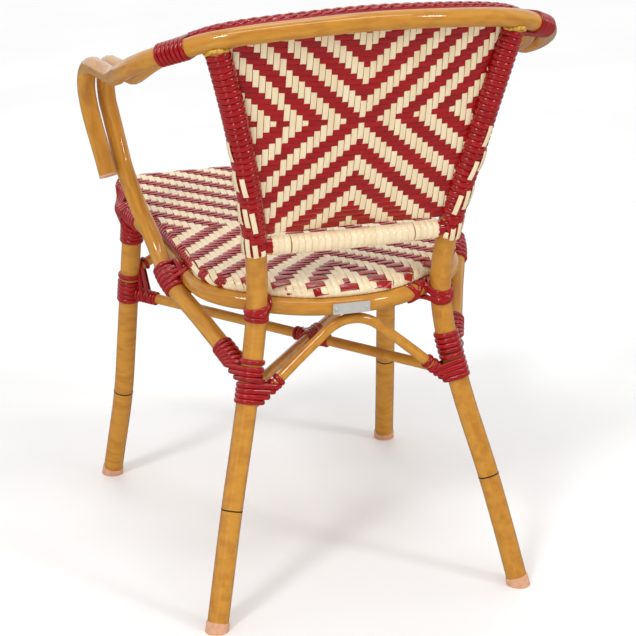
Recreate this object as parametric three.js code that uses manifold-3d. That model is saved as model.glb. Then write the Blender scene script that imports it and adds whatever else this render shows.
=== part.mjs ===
// Rattan bistro armchair: bent aluminium tubes with a bamboo finish, a woven seat and a woven back.
// Millimetres, +Z up. The sitter faces -Y, and the chair is alike on both sides of the plane x = 0.

import * as THREE from "three";
import { mergeVertices } from "three/addons/utils/BufferGeometryUtils.js";
import Module from "manifold-3d";

const wasm = await Module();
wasm.setup();

// Driving dimensions: tubes.
const crestTube = 25; // crest rail and arms, one tube
const hoopTube = 24; // inner hoop beside the crest rail
const legTube = 28;
const ringTube = 24; // seat ring
const railTube = 22; // lower back rail under its winding
const braceTube = 14; // arches and stretchers
const frameTube = 12; // hidden frame inside the woven seat
const touch = 0.3; // clearance between pieces that touch

// Driving dimensions: overall shape.
const armReach = 285; // middle of the chair to the axis of an arm
const crestBack = 277; // origin of the layout to the axis of the crest rail
const crestHeight = 790; // floor to the axis of the crest rail
const hoopDrop = 0.5; // hoop axis below the crest axis

// Driving dimensions: legs, as the places of their axes.
// An inset is how far an axis lies inside the axis of the arm.
const rearFoot = { inset: 73, back: 267 };
const frontFoot = { inset: 68, fore: 270 };
const frontKnee = { inset: 80.5, fore: 235, height: 140, bend: 40 };
const frontTop = { inset: 94, fore: 203 };

// Driving dimensions: seat.
const ringInset = 84; // the ring's widest place, inside the axis of the arm
const ringHalfWidth = armReach - ringInset;
const ringBack = 187; // layout origin to the ring's axis at the back
const ringFore = 235; // layout origin to the ring's axis at the front
const ringHeight = 398; // floor to the ring's axis at the back
const ringRise = 37; // how much higher the ring's axis is at the front
const ringSeam = 1; // butt joint of the bent ring, behind the name plate
const seatOverhang = 4; // woven edge beyond the ring's axis, sides and back
const seatFront = { beyond: 6, nose: 19, corner: 22 }; // how far it goes beyond the ring's axis, aside and forwards
const strandLayer = 2.2; // woven strands over a tube
const seatGap = 1; // strands between the seat ring and the seat's frame
const seatCrown = { drop: 7, inset: 6 }; // rounding of the woven edge

// Driving dimensions: braces, as drops on the leg axes below ringHeight.
const hoopJointDrop = 88;
const rearArchDrop = 127;
const frontArchDrop = 66;
const stretcherDrop = { front: 96, rear: 110 }; // the through stretcher
const halfStretcherDrop = 102; // the two halves that meet it

// Driving dimensions: woven back.
const backThickness = 5;
const backBow = -9.5; // how far the panel's lower edge lies behind the posts at its middle
const backWrap = 3; // woven skin round the hoop
const backLean = 8; // the panel's top edge behind the hoop's axis
const railRise = 92.5; // rail above ringHeight
const railBow = 8; // how far the rail's middle lies behind its ends

// Driving dimensions: small parts.
const footCap = { diameter: 30.6, height: 12, floor: 4 };
const armCap = { thickness: 3, round: 1.2 };
const plate = { length: 50, height: 14.5, thickness: 1.2, shift: 5.5, corner: 2 };
const rivet = { head: 5.4, headHeight: 1.3, shank: 2.4, inset: 4.5, depth: 4 };

// Driving dimensions: wound strands. A winding's pitch follows from its length and its loops.
const strand = { thickness: 2.4, gap: 0.8, clear: 0.7 };
const postWinding = { aboveRail: 16.5, belowTop: 37, loops: 19 };
const railWinding = { inset: 24, loops: 17 };
const armWrapShares = { from: 0.77, to: 0.895 }; // of armReach
const armWrap = { loops: 8 };
const tieWrap = { length: 38, loops: 6 };
const jointWrap = { from: 5, length: 26, loops: 5 };
const branchWrap = { from: 17, length: 34, loops: 6 };
const cornerWrap = { belowRing: 21, length: 27, loops: 5 };
const crossingWrap = { from: 11.5, length: 18, loops: 4 };

// Routes as shares of armReach, crestBack and crestHeight, from the middle of the crest to the arm's end.
const crestShares = [
  [0, 1, 1],
  [0.291, 0.982, 0.996],
  [0.575, 0.913, 0.985],
  [0.709, 0.856, 0.975],
  [0.825, 0.78, 0.959],
  [0.916, 0.675, 0.941],
  [0.968, 0.549, 0.92],
  [0.986, 0.412, 0.899],
  [0.985, 0.271, 0.881],
  [0.987, 0.19, 0.877],
  [0.993, 0.032, 0.873],
  [0.997, -0.112, 0.867],
  [1, -0.195, 0.852],
  [1, -0.232, 0.826],
  [0.989, -0.253, 0.797],
  [0.968, -0.235, 0.754],
  [0.947, -0.191, 0.714],
  [0.93, -0.144, 0.676],
];
const hoopFollows = 11; // rows of crestShares beside which the hoop runs
const hoopShares = [
  [0.909, -0.17, 0.861],
  [0.905, -0.243, 0.837],
  [0.888, -0.292, 0.791],
  [0.874, -0.292, 0.767],
  [0.863, -0.278, 0.744],
  [0.849, -0.235, 0.708],
  [0.839, -0.194, 0.68],
  [0.811, -0.17, 0.643],
  [0.783, -0.117, 0.606],
  [0.754, -0.054, 0.575],
  [0.732, 0.022, 0.542],
];
const hoopTieShare = 0.36; // where along the ring's depth the hoop is tied beside it, from the back
const hoopTieRise = -6; // hoop axis above the ring's axis there
const hoopTieClear = 0.6; // space between hoop and ring
const hoopRunShares = [0.4, 0.8]; // points of its straight run from the tie to the rear leg
const hoopOverBack = 6; // rows of crestShares above the woven back

// Half of the ring's outline: shares of ringHalfWidth, and of its depth from the back.
const ringShares = [
  [0.05, 0],
  [0.2, 0.008],
  [0.338, 0.025],
  [0.478, 0.055],
];
const ringSideShares = [
  [0.742, 0.139],
  [0.813, 0.177],
  [0.868, 0.223],
  [0.892, 0.28],
  [0.903, 0.38],
  [0.93, 0.58],
  [0.965, 0.8],
  [0.995, 0.918],
  [0.985, 0.954],
  [0.93, 0.984],
  [0.84, 0.993],
  [0.42, 0.999],
  [0, 1],
];

const ringPastLegShares = [-0.538, -0.843]; // direction from a rear leg's axis to the ring beside it
const ringPastLeg = 11; // half length of the ring's run beside a rear leg

// A rear leg's axis: shares of its foot's half spread, rearFoot.back and crestHeight, from the floor.
const rearLegShares = [
  [1, 1, 0],
  [0.92, 0.931, 0.101],
  [0.84, 0.858, 0.196],
  [0.726, 0.757, 0.316],
  [0.672, 0.71, 0.38],
  [0.632, 0.676, 0.43],
  [0.608, 0.661, 0.475],
  [0.599, 0.657, 0.506],
  [0.596, 0.66, 0.538],
  [0.603, 0.676, 0.576],
  [0.62, 0.702, 0.62],
  [0.667, 0.757, 0.696],
  [0.717, 0.803, 0.759],
  [0.781, 0.839, 0.835],
  [0.83, 0.858, 0.886],
  [0.882, 0.873, 0.937],
  [0.925, 0.884, 0.976],
];

// Half of an arch: shares of the run from its middle to the leg, and of the rise from leg to top.
const archShares = [
  [1, 0],
  [0.89, 0.128],
  [0.7, 0.34],
  [0.5, 0.58],
  [0.338, 0.765],
  [0.2, 0.92],
  [0.09, 0.985],
  [0, 1],
];

// Sides and steps of the swept tubes.
const tubeSides = 10;
const hoopSides = 10;
const slimSides = 8;
const crestSteps = 60;
const hoopSteps = 66;
const ringSteps = 48;
const rearLegSteps = 20;
const frontLegSteps = 16;
const archSteps = 22;
const railSteps = 6;
const capSides = 16;
const windingSteps = 8; // steps of one loop of strand
const cornerSteps = 4; // steps of a rounded corner
const crownSteps = 3; // steps of the seat's rounded edge
const rivetSides = 12;
const fineSteps = 800; // steps of a route where a place on it is looked for
const mergeWithin = 1e-3; // vertices nearer than this are one

const point = (x, y, z) => new THREE.Vector3(x, y, z);
const mirrored = (p) => point(-p.x, p.y, p.z);
const up = point(0, 0, 1);

// A smooth route through points. A tube's steps fall evenly between the points, so bends get more of them.
class SmoothRoute extends THREE.CatmullRomCurve3 {
  constructor(points) {
    super(points, false, "centripetal");
  }
  getUtoTmapping(u) {
    return u;
  }
}
const smooth = (points) => new SmoothRoute(points);

// A route that is given for x >= 0, from its middle outwards, and goes on to the other side.
function bothSides(half) {
  const other = half.map(mirrored).reverse();
  return [...other, ...half.slice(half[0].x === 0 ? 1 : 0)];
}

// Fine points of a route, kept for the next call.
const keptPoints = new Map();
function pointsOf(route) {
  if (!keptPoints.has(route)) keptPoints.set(route, route.getSpacedPoints(fineSteps));
  return keptPoints.get(route);
}

// The place on a route where one coordinate takes a value, looked for from its end backwards.
function placeWhere(curve, axis, value) {
  const places = pointsOf(curve);
  for (let i = places.length - 1; i > 0; i--) {
    const [a, b] = [places[i - 1][axis], places[i][axis]];
    const share = (value - a) / (b - a || 1);
    if ((a - value) * (b - value) <= 0) return places[i - 1].clone().lerp(places[i], share);
  }
  return places[places.length - 1];
}

// The direction of a route at its point nearest to a place.
function wayAt(route, place) {
  const places = pointsOf(route);
  const nearer = (best, p, i) => (p.distanceTo(place) < places[best].distanceTo(place) ? i : best);
  const next = Math.min(places.reduce(nearer, 0) + 1, places.length - 1);
  return places[next].clone().sub(places[next - 1]).normalize();
}

// A geometry as a manifold-3d solid, and back.
function solidOf(geometry) {
  const bare = geometry.index ? geometry.toNonIndexed() : geometry.clone();
  bare.deleteAttribute("normal");
  bare.deleteAttribute("uv");
  const merged = mergeVertices(bare, mergeWithin);
  return new wasm.Manifold(
    new wasm.Mesh({
      numProp: 3,
      vertProperties: merged.attributes.position.array,
      triVerts: new Uint32Array(merged.index.array),
    }),
  );
}

function geometryOf(solid) {
  const mesh = solid.getMesh();
  const geometry = new THREE.BufferGeometry();
  geometry.setAttribute("position", new THREE.BufferAttribute(mesh.vertProperties, 3));
  geometry.setIndex(new THREE.BufferAttribute(mesh.triVerts, 1));
  geometry.computeVertexNormals();
  return geometry;
}

// The solid without what the other solids take.
function cut(solid, ...cutters) {
  return cutters.reduce((rest, cutter) => rest.subtract(cutter), solid);
}

function disc(diameter, sides) {
  const corners = [];
  for (let i = 0; i < sides; i++) {
    const angle = (i / sides) * 2 * Math.PI;
    corners.push(new THREE.Vector2(Math.cos(angle), Math.sin(angle)).multiplyScalar(diameter / 2));
  }
  return new THREE.Shape(corners);
}

// A round tube: a route with a diameter, steps and sides. It can be grown to cut a neighbour back.
const line = (route, diameter, steps, sides) => ({ route, diameter, steps, sides });
function tube({ route, diameter, steps, sides }, grow = 0) {
  return solidOf(new THREE.ExtrudeGeometry(disc(diameter + grow, sides), { steps, extrudePath: route }));
}

// All that lies between two heights, as a box wider than the chair.
function slab(from, to) {
  const reach = 2 * crestHeight;
  return solidOf(new THREE.BoxGeometry(reach, reach, to - from).translate(0, 0, (from + to) / 2));
}

// A tube's route: straight, bent round the knee, straight.
function kneeRoute(foot, knee, top, below, above) {
  const route = new THREE.CurvePath();
  const before = knee.clone().addScaledVector(knee.clone().sub(foot).normalize(), -below);
  const after = knee.clone().addScaledVector(top.clone().sub(knee).normalize(), above);
  route.add(new THREE.LineCurve3(foot, before));
  route.add(new THREE.QuadraticBezierCurve3(before, knee, after));
  route.add(new THREE.LineCurve3(after, top));
  return route;
}

// Height of the ring's axis plane at a depth.
const ringDepth = ringBack + ringFore;
const seatPlane = (y) => ringHeight + (ringRise * (ringBack - y)) / ringDepth;

// Routes of the frame, for the side x > 0 where there are two.
const crestHalf = crestShares.map(([x, y, z]) => point(x * armReach, y * crestBack, z * crestHeight));
const crestRoute = smooth(bothSides(crestHalf));

const besideCrest = (crestTube + hoopTube) / 2 + touch;
const hoopBesideCrest = crestHalf.slice(0, hoopFollows).map((p, i) => {
  const along = crestHalf[i + 1].clone().sub(i ? crestHalf[i - 1] : mirrored(crestHalf[1]));
  const inward = point(along.y, -along.x, 0).normalize();
  const sideways = Math.sqrt(besideCrest ** 2 - hoopDrop ** 2);
  return p.clone().addScaledVector(inward, sideways).addScaledVector(up, -hoopDrop);
});

const rearLegAxis = smooth(
  rearLegShares.map(([x, y, z]) => point(x * (armReach - rearFoot.inset), y * rearFoot.back, z * crestHeight)),
);
const postTop = rearLegAxis.points[rearLegAxis.points.length - 1];

// The ring runs beside the rear legs, so its points there follow their axes.
const onRing = ([x, y]) => {
  const depth = ringBack - y * ringDepth;
  return point(x * ringHalfWidth, depth, seatPlane(depth));
};
const legAtRing = placeWhere(rearLegAxis, "z", ringHeight);
const [offX, offY] = ringPastLegShares;
const besideLeg = (legTube + ringTube) / 2 + touch;
const ringBesideLeg = [-ringPastLeg, ringPastLeg].map((along) => {
  const x = legAtRing.x + offX * besideLeg - offY * along;
  const y = legAtRing.y + offY * besideLeg + offX * along;
  return point(x, y, seatPlane(y));
});
const ringHalf = [...ringShares.map(onRing), ...ringBesideLeg, ...ringSideShares.map(onRing)];
const seam = [point(ringSeam / 2, ringBack, seatPlane(ringBack))];
const ringRight = [...seam, ...ringHalf.slice(0, -1)];
const ringRoute = smooth([...ringRight, ringHalf[ringHalf.length - 1], ...ringRight.map(mirrored).reverse()]);

const frontLegAxis = kneeRoute(
  point(armReach - frontFoot.inset, -frontFoot.fore, 0),
  point(armReach - frontKnee.inset, -frontKnee.fore, frontKnee.height),
  point(armReach - frontTop.inset, -frontTop.fore, seatPlane(-frontTop.fore)),
  frontKnee.bend,
  frontKnee.bend,
);

const ringAtTie = placeWhere(smooth(ringHalf), "y", ringBack - hoopTieShare * ringDepth);
const tieSpan = (hoopTube + ringTube) / 2 + hoopTieClear;
const hoopAtTie = ringAtTie.clone().add(point(Math.sqrt(tieSpan ** 2 - hoopTieRise ** 2), 0, hoopTieRise));
const hoopEnd = placeWhere(rearLegAxis, "z", ringHeight - hoopJointDrop);
const hoopHalf = [
  ...hoopBesideCrest,
  ...hoopShares.map(([x, y, z]) => point(x * armReach, y * crestBack, z * crestHeight)),
  hoopAtTie,
  ...hoopRunShares.map((share) => hoopAtTie.clone().lerp(hoopEnd, share)),
  hoopEnd,
];
const hoopRoute = smooth(bothSides(hoopHalf));
const hoopSide = smooth(hoopHalf);

// The frame's tubes, each cut back by the ones that it meets.
const rearLegs = [rearLegAxis, mirroredRoute(rearLegAxis)];
const frontLegs = [frontLegAxis, mirroredRoute(frontLegAxis)];

function mirroredRoute(route) {
  if (route.points) return smooth(route.points.map(mirrored));
  const other = new THREE.CurvePath();
  for (const piece of route.curves) {
    const copy = piece.clone();
    for (const name of ["v0", "v1", "v2"]) if (copy[name]) copy[name] = mirrored(copy[name]);
    other.add(copy);
  }
  return other;
}

const wide = 2 * touch;
const crestLine = line(crestRoute, crestTube, crestSteps, tubeSides);
const hoopLine = line(hoopRoute, hoopTube, hoopSteps, hoopSides);
const ringLine = line(ringRoute, ringTube, ringSteps, tubeSides);
const rearLegLines = rearLegs.map((axis) => line(axis, legTube, rearLegSteps, tubeSides));
const frontLegLines = frontLegs.map((axis) => line(axis, legTube, frontLegSteps, tubeSides));
const crestCutter = tube(crestLine, wide);
const hoopCutter = tube(hoopLine, wide);
const ringCutter = tube(ringLine, wide);
const rearLegCutters = rearLegLines.map((one) => tube(one, wide));
const frontLegCutters = frontLegLines.map((one) => tube(one, wide));

// A leg ends inside its foot cap, and its top is coped under the crest rail or the seat ring.
const high = 2 * crestHeight;
const aboveSeat = slab((ringHeight + crestHeight) / 2, high);
const aboveCap = slab(footCap.floor + touch, high);
const rearLegSolids = rearLegLines.map((one) =>
  cut(tube(one), crestCutter, hoopCutter.intersect(aboveSeat)).intersect(aboveCap),
);
const frontLegSolids = frontLegLines.map((one) => cut(tube(one), ringCutter).intersect(aboveCap));
const crest = tube(crestLine);
const hoop = cut(tube(hoopLine), crestCutter, ringCutter, ...rearLegCutters);
const ring = cut(tube(ringLine), ...rearLegCutters);

// Group and materials.
const chair = new THREE.Group();
const bamboo = { color: 0xd99a3c, roughness: 0.45, metalness: 0.1 };
const cream = { color: 0xf0ddb4, roughness: 0.55, metalness: 0 };
const red = { color: 0xa3181e, roughness: 0.5, metalness: 0 };
const capPlastic = { color: 0xe8b090, roughness: 0.5, metalness: 0 };
const steel = { color: 0xc9c4bd, roughness: 0.35, metalness: 0.9 };

function addPiece(name, solid, look) {
  const mesh = new THREE.Mesh(geometryOf(solid), new THREE.MeshStandardMaterial(look));
  mesh.name = name;
  chair.add(mesh);
}

const sides = ["left", "right"];
addPiece("crest_rail", crest, bamboo);
addPiece("inner_hoop", hoop, bamboo);
addPiece("seat_ring", ring, bamboo);
sides.forEach((side, i) => {
  addPiece(side + "_rear_leg", rearLegSolids[i], bamboo);
  addPiece(side + "_front_leg", frontLegSolids[i], bamboo);
});

// Lower back rail between the posts.
const railHeight = ringHeight + railRise;
const railEnd = placeWhere(rearLegAxis, "z", railHeight);
const railMiddle = point(0, railEnd.y + railBow, railHeight);
const railRoute = new THREE.QuadraticBezierCurve3(
  railEnd,
  point(0, 2 * railMiddle.y - railEnd.y, railHeight),
  mirrored(railEnd),
);
const railLine = line(railRoute, railTube, railSteps, tubeSides);
addPiece("lower_back_rail", cut(tube(railLine), ...rearLegCutters), bamboo);

// Arches that brace the seat ring from the legs.
function archSolid(legAxis, footHeight, cutters) {
  const foot = placeWhere(legAxis, "z", footHeight);
  const ringAxis = foot.y > 0 ? ringBack : -ringFore;
  const topHeight = seatPlane(ringAxis) - (ringTube + braceTube) / 2 - touch;
  const half = archShares
    .map(([run, rise]) => {
      const mix = THREE.MathUtils.lerp;
      return point(run * foot.x, mix(foot.y, ringAxis, rise), mix(footHeight, topHeight, rise));
    })
    .reverse();
  return cut(tube(line(smooth(bothSides(half)), braceTube, archSteps, slimSides)), ...cutters);
}
addPiece("rear_arch_brace", archSolid(rearLegAxis, ringHeight - rearArchDrop, rearLegCutters), bamboo);
addPiece("front_arch_brace", archSolid(frontLegAxis, ringHeight - frontArchDrop, frontLegCutters), bamboo);

// Diagonal stretchers: one runs through, the other is two halves that end against it.
const betweenLegs = (front, frontDrop, rear, rearDrop) =>
  new THREE.LineCurve3(placeWhere(front, "z", ringHeight - frontDrop), placeWhere(rear, "z", ringHeight - rearDrop));
const throughRoute = betweenLegs(frontLegs[0], stretcherDrop.front, rearLegs[1], stretcherDrop.rear);
const halvesRoute = betweenLegs(frontLegs[1], halfStretcherDrop, rearLegs[0], halfStretcherDrop);
const throughLine = line(throughRoute, braceTube, 1, slimSides);
const halvesCrossing = placeWhere(halvesRoute, "x", 0);
const allLegCutters = [...rearLegCutters, ...frontLegCutters];
addPiece("through_stretcher", cut(tube(throughLine), ...allLegCutters), bamboo);
["front", "rear"].forEach((end, i) => {
  const half = new THREE.LineCurve3(halvesCrossing, halvesRoute.getPoint(i));
  const solid = tube(line(half, braceTube, 1, slimSides));
  addPiece(end + "_half_stretcher", cut(solid, tube(throughLine, wide), ...allLegCutters), bamboo);
});

// How far a wound strand reaches from the axis of its tube.
const cornerReach = 1 / Math.cos(Math.PI / windingSteps);
const woundReach = (diameter) => (diameter / 2 + strand.clear + strand.thickness) * cornerReach;

// Outline of the woven seat: it follows the ring at the back and the sides, with a nose at the front.
function outwards(points, distance) {
  return points.map((p, i) => {
    const before = points[(i + points.length - 1) % points.length];
    const way = points[(i + 1) % points.length].clone().sub(before).normalize();
    return new THREE.Vector2(p.x + way.y * distance, p.y - way.x * distance);
  });
}
const seatFrontDepth = ringFore + seatFront.nose;
const seatCorner = [];
for (let i = 0; i <= cornerSteps; i++) {
  const angle = (i / cornerSteps) * (Math.PI / 2);
  seatCorner.push(
    new THREE.Vector2(
      ringHalfWidth + seatFront.beyond - seatFront.corner * (1 - Math.cos(angle)),
      -seatFrontDepth + seatFront.corner * (1 - Math.sin(angle)),
    ),
  );
}
const besideRing = ringHalf.filter((p) => p.y > -ringFore / 2).map((p) => new THREE.Vector2(p.x, p.y));
const pastMiddle = new THREE.Vector2(-besideRing[0].x, besideRing[0].y);
const seatSide = outwards([seatCorner[0], ...[...besideRing].reverse(), pastMiddle], seatOverhang);
const seatHalf = [...seatCorner.slice().reverse(), ...seatSide.slice(1, -1)];
const seatOutline = [...seatHalf, ...seatHalf.map((p) => new THREE.Vector2(-p.x, p.y)).reverse()];

// Tilts what was drawn flat so that it follows the ring's plane, lifted above the ring's axis.
function onSeatPlane(geometry, lift) {
  const places = geometry.attributes.position;
  for (let i = 0; i < places.count; i++) places.setZ(i, places.getZ(i) + seatPlane(places.getY(i)) + lift);
  return geometry;
}

// Room in the seat for the strands that tie the hoop to the ring, wound square to the mean of the two.
const ringWay = wayAt(smooth(ringHalf), ringAtTie);
const tieAxis = wayAt(hoopSide, hoopAtTie).sub(ringWay).normalize();
const tieReach = woundReach(ringTube / Math.abs(tieAxis.dot(ringWay))) + 2 * touch;
const tieRoom = new THREE.BoxGeometry(high, 2 * tieWrap.length, high).translate(0, ringAtTie.y, 0);
const tieEnvelope = tube(ringLine, 2 * tieReach - ringTube).intersect(solidOf(tieRoom));

// Woven seat: a crowned panel whose strands wrap a hidden frame, which lies in a groove.
const overRing = ringTube / 2 + touch + seatGap;
const seatThickness = frameTube + 2 * (strandLayer + touch);
const panelShape = new THREE.ExtrudeGeometry(new THREE.Shape(seatOutline), {
  depth: seatThickness - 2 * seatCrown.drop,
  bevelThickness: seatCrown.drop,
  bevelSize: seatCrown.inset,
  bevelOffset: -seatCrown.inset,
  bevelSegments: crownSteps,
});
const grooveShape = new THREE.Shape(outwards(seatOutline, -strandLayer));
grooveShape.holes.push(new THREE.Path(outwards(seatOutline, -strandLayer - frameTube - 2 * touch)));
const groove = new THREE.ExtrudeGeometry(grooveShape, { depth: 2 * frameTube, bevelEnabled: false });
const grooveTop = overRing + frameTube + touch;
const frameLine = outwards(seatOutline, -strandLayer - touch - frameTube / 2);
const framePoints = frameLine.map((p) => point(p.x, p.y, seatPlane(p.y) + overRing + frameTube / 2));
addPiece(
  "woven_seat",
  cut(
    solidOf(onSeatPlane(panelShape, overRing + seatCrown.drop)),
    solidOf(onSeatPlane(groove, grooveTop - 2 * frameTube)),
    tieEnvelope,
    ...rearLegCutters,
    hoopCutter,
  ),
  cream,
);
const frameSeamAt = framePoints[framePoints.length - 1].clone().lerp(framePoints[0], 0.5);
const frameEnds = [ringSeam / 2, -ringSeam / 2].map((x) => point(x, frameSeamAt.y, frameSeamAt.z));
const frameLoop = [frameEnds[1], ...framePoints, frameEnds[0]];
const frameRoute = smooth(frameLoop);
const frameSolid = tube(line(frameRoute, frameTube, frameLoop.length - 1, slimSides));
addPiece("seat_frame", cut(frameSolid, tieEnvelope), steel);

// Strands wound round one tube, or round two side by side, each as one unbroken flat tube.
const formNotes = [];

// Where a route crosses the plane through a place, square to an axis, nearest to that place.
function crossing({ route, steps }, place, axis) {
  const places = route.getSpacedPoints(steps);
  let best = null;
  for (let i = 1; i < places.length; i++) {
    const before = places[i - 1].clone().sub(place).dot(axis);
    const after = places[i].clone().sub(place).dot(axis);
    if (before * after > 0) continue;
    const hit = places[i - 1].clone().lerp(places[i], before / (before - after || 1));
    const slant = Math.abs(places[i].clone().sub(places[i - 1]).normalize().dot(axis));
    if (!best || hit.distanceTo(place) < best.hit.distanceTo(place)) best = { hit, slant };
  }
  return best;
}

function winding(name, tubes, start, end, loops, look) {
  const axis = end.clone().sub(start).normalize();
  const length = start.distanceTo(end);
  const pitch = length / loops;
  const width = pitch - strand.gap;
  const [first, last] = [tubes[0], tubes[tubes.length - 1]];
  const corner = (angle, station, layer) => {
    const place = start.clone().addScaledVector(axis, station);
    const [a, b] = [first, last].map((one) => crossing(one, place, axis));
    const across = tubes.length > 1 ? b.hit.clone().sub(a.hit) : point(axis.y, axis.z, -axis.x).cross(axis);
    const e1 = across.addScaledVector(axis, -across.dot(axis)).normalize();
    const e2 = axis.clone().cross(e1);
    const [middle, one] = Math.cos(angle) >= 0 ? [b, last] : [a, first];
    const reach = (one.diameter / 2 / middle.slant + strand.clear + layer) * cornerReach;
    const out = e1.multiplyScalar(Math.cos(angle)).addScaledVector(e2, Math.sin(angle));
    return middle.hit.clone().addScaledVector(out, reach);
  };
  const ring = (step) => {
    const angle = ((step + 0.5) / windingSteps) * 2 * Math.PI;
    const station = (step / windingSteps) * pitch;
    return [
      corner(angle, station - width / 2, 0),
      corner(angle, station + width / 2, 0),
      corner(angle, station + width / 2, strand.thickness),
      corner(angle, station - width / 2, strand.thickness),
    ];
  };
  const steps = loops * windingSteps;
  const rings = [];
  for (let step = 0; step <= steps; step++) rings.push(ring(step));
  const straight = (from, towards) =>
    from.map((p, i) => p.clone().addScaledVector(towards[i].clone().sub(p).normalize(), width));
  rings.unshift(straight(rings[0], ring(-1)));
  rings.push(straight(rings[rings.length - 1], ring(steps + 1)));

  let least = Infinity;
  for (let i = 0; i < rings.length; i++)
    for (let j = i + windingSteps / 2 + 1; j < rings.length; j++)
      for (const p of rings[i]) for (const q of rings[j]) least = Math.min(least, p.distanceTo(q));
  formNotes.push(name + " " + loops + " loops, least gap " + least.toFixed(2));

  const faces = [0, 3, 2, 0, 2, 1];
  for (let i = 1; i < rings.length; i++)
    for (let j = 0; j < 4; j++) {
      const [a, b, c, d] = [4 * (i - 1) + j, 4 * (i - 1) + ((j + 1) % 4), 4 * i + ((j + 1) % 4), 4 * i + j];
      faces.push(a, b, c, a, c, d);
    }
  const end4 = 4 * (rings.length - 1);
  faces.push(end4, end4 + 1, end4 + 2, end4, end4 + 2, end4 + 3);
  const geometry = new THREE.BufferGeometry().setFromPoints(rings.flat());
  geometry.setIndex(faces);
  geometry.computeVertexNormals();
  const mesh = new THREE.Mesh(geometry, new THREE.MeshStandardMaterial(look));
  mesh.name = name;
  chair.add(mesh);
}

sides.forEach((side, i) => {
  const flip = (p) => (i ? mirrored(p) : p);
  const leg = rearLegs[i];
  const postFrom = placeWhere(leg, "z", railHeight + postWinding.aboveRail);
  const postTo = placeWhere(leg, "z", postTop.z - postWinding.belowTop);
  winding(side + "_post_winding", [rearLegLines[i]], postFrom, postTo, postWinding.loops, red);

  const wrapFrom = flip(placeWhere(crestRoute, "x", armWrapShares.from * armReach));
  const wrapTo = flip(placeWhere(crestRoute, "x", armWrapShares.to * armReach));
  winding(side + "_arm_wrap", [crestLine, hoopLine], wrapFrom, wrapTo, armWrap.loops, red);

  const tieMiddle = ringAtTie.clone().lerp(hoopAtTie, 0.5);
  const tieStart = tieMiddle.clone().addScaledVector(tieAxis, -tieWrap.length / 2);
  const tieEnd = tieMiddle.clone().addScaledVector(tieAxis, tieWrap.length / 2);
  winding(side + "_seat_side_wrap", [ringLine, hoopLine], flip(tieStart), flip(tieEnd), tieWrap.loops, red);

  const jointAxis = wayAt(rearLegAxis, hoopEnd).sub(wayAt(hoopSide, hoopEnd)).normalize();
  const jointStart = hoopEnd.clone().addScaledVector(jointAxis, jointWrap.from);
  const jointEnd = jointStart.clone().addScaledVector(jointAxis, jointWrap.length);
  const jointTubes = [rearLegLines[i], hoopLine];
  winding(side + "_rear_joint_wrap", jointTubes, flip(jointStart), flip(jointEnd), jointWrap.loops, red);

  const cornerHeight = ringHeight - cornerWrap.belowRing;
  const cornerFrom = placeWhere(frontLegs[i], "z", cornerHeight);
  const cornerTo = placeWhere(frontLegs[i], "z", cornerHeight + cornerWrap.length);
  const cornerName = side + "_front_corner_wrap";
  winding(cornerName, [frontLegLines[i]], cornerFrom, cornerTo, cornerWrap.loops, red);

  const stretcher = i ? halvesRoute : throughRoute;
  const legPlace = stretcher.getPoint(0);
  const away = stretcher.getPoint(1).sub(legPlace).normalize();
  const branchFrom = legPlace.clone().addScaledVector(away, branchWrap.from);
  const branchTo = branchFrom.clone().addScaledVector(away, branchWrap.length);
  const branchTube = [line(stretcher, braceTube, 1, slimSides)];
  winding(side + "_front_joint_wrap", branchTube, branchFrom, branchTo, branchWrap.loops, red);
});

const throughWay = throughRoute.getPoint(0).sub(throughRoute.getPoint(1)).normalize();
const crossingPlace = placeWhere(throughRoute, "x", 0);
const crossingFrom = crossingPlace.clone().addScaledVector(throughWay, crossingWrap.from);
const crossingTo = crossingFrom.clone().addScaledVector(throughWay, crossingWrap.length);
winding("crossing_wrap", [throughLine], crossingFrom, crossingTo, crossingWrap.loops, red);

const railFrom = placeWhere(railRoute, "x", railEnd.x - railWinding.inset);
winding("rail_winding", [railLine], railFrom, mirrored(railFrom), railWinding.loops, cream);
console.log(formNotes.join("\n"));

// Woven back: a bowed panel between the posts, wrapped round the hoop at the top.
const backInset = woundReach(legTube) + 2 * touch;
const backFootHeight = railHeight + woundReach(railTube) + touch;
const hoopMiddle = hoopHalf[0];
const topBow = hoopMiddle.y + backLean - postTop.y;
const backColumns = 14;
const backRows = 6;
const hoopBack = smooth(hoopBesideCrest.slice(0, hoopOverBack));
function backPlace(column, row, face) {
  const u = (2 * column) / backColumns - 1;
  const share = row / backRows;
  const topAtColumn = placeWhere(hoopBack, "x", Math.abs(u) * (postTop.x - backInset)).z;
  const height = THREE.MathUtils.lerp(backFootHeight, topAtColumn, share);
  const post = placeWhere(rearLegAxis, "z", Math.min(height, postTop.z));
  const bow = THREE.MathUtils.lerp(backBow, topBow, share) * (1 - u * u);
  return point(u * (post.x - backInset), post.y + bow + (face * backThickness) / 2, height);
}
const backPoints = [];
for (const face of [-1, 1])
  for (let row = 0; row <= backRows; row++)
    for (let column = 0; column <= backColumns; column++) backPoints.push(backPlace(column, row, face));
const backIndex = (face, row, column) => (face * (backRows + 1) + row) * (backColumns + 1) + column;
const backFaces = [];
const quad = (a, b, c, d) => backFaces.push(a, b, c, a, c, d);
for (let row = 0; row < backRows; row++)
  for (let column = 0; column < backColumns; column++)
    for (const face of [0, 1]) {
      const corners = [
        backIndex(face, row, column),
        backIndex(face, row, column + 1),
        backIndex(face, row + 1, column + 1),
        backIndex(face, row + 1, column),
      ];
      quad(...(face ? corners.reverse() : corners));
    }
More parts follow.
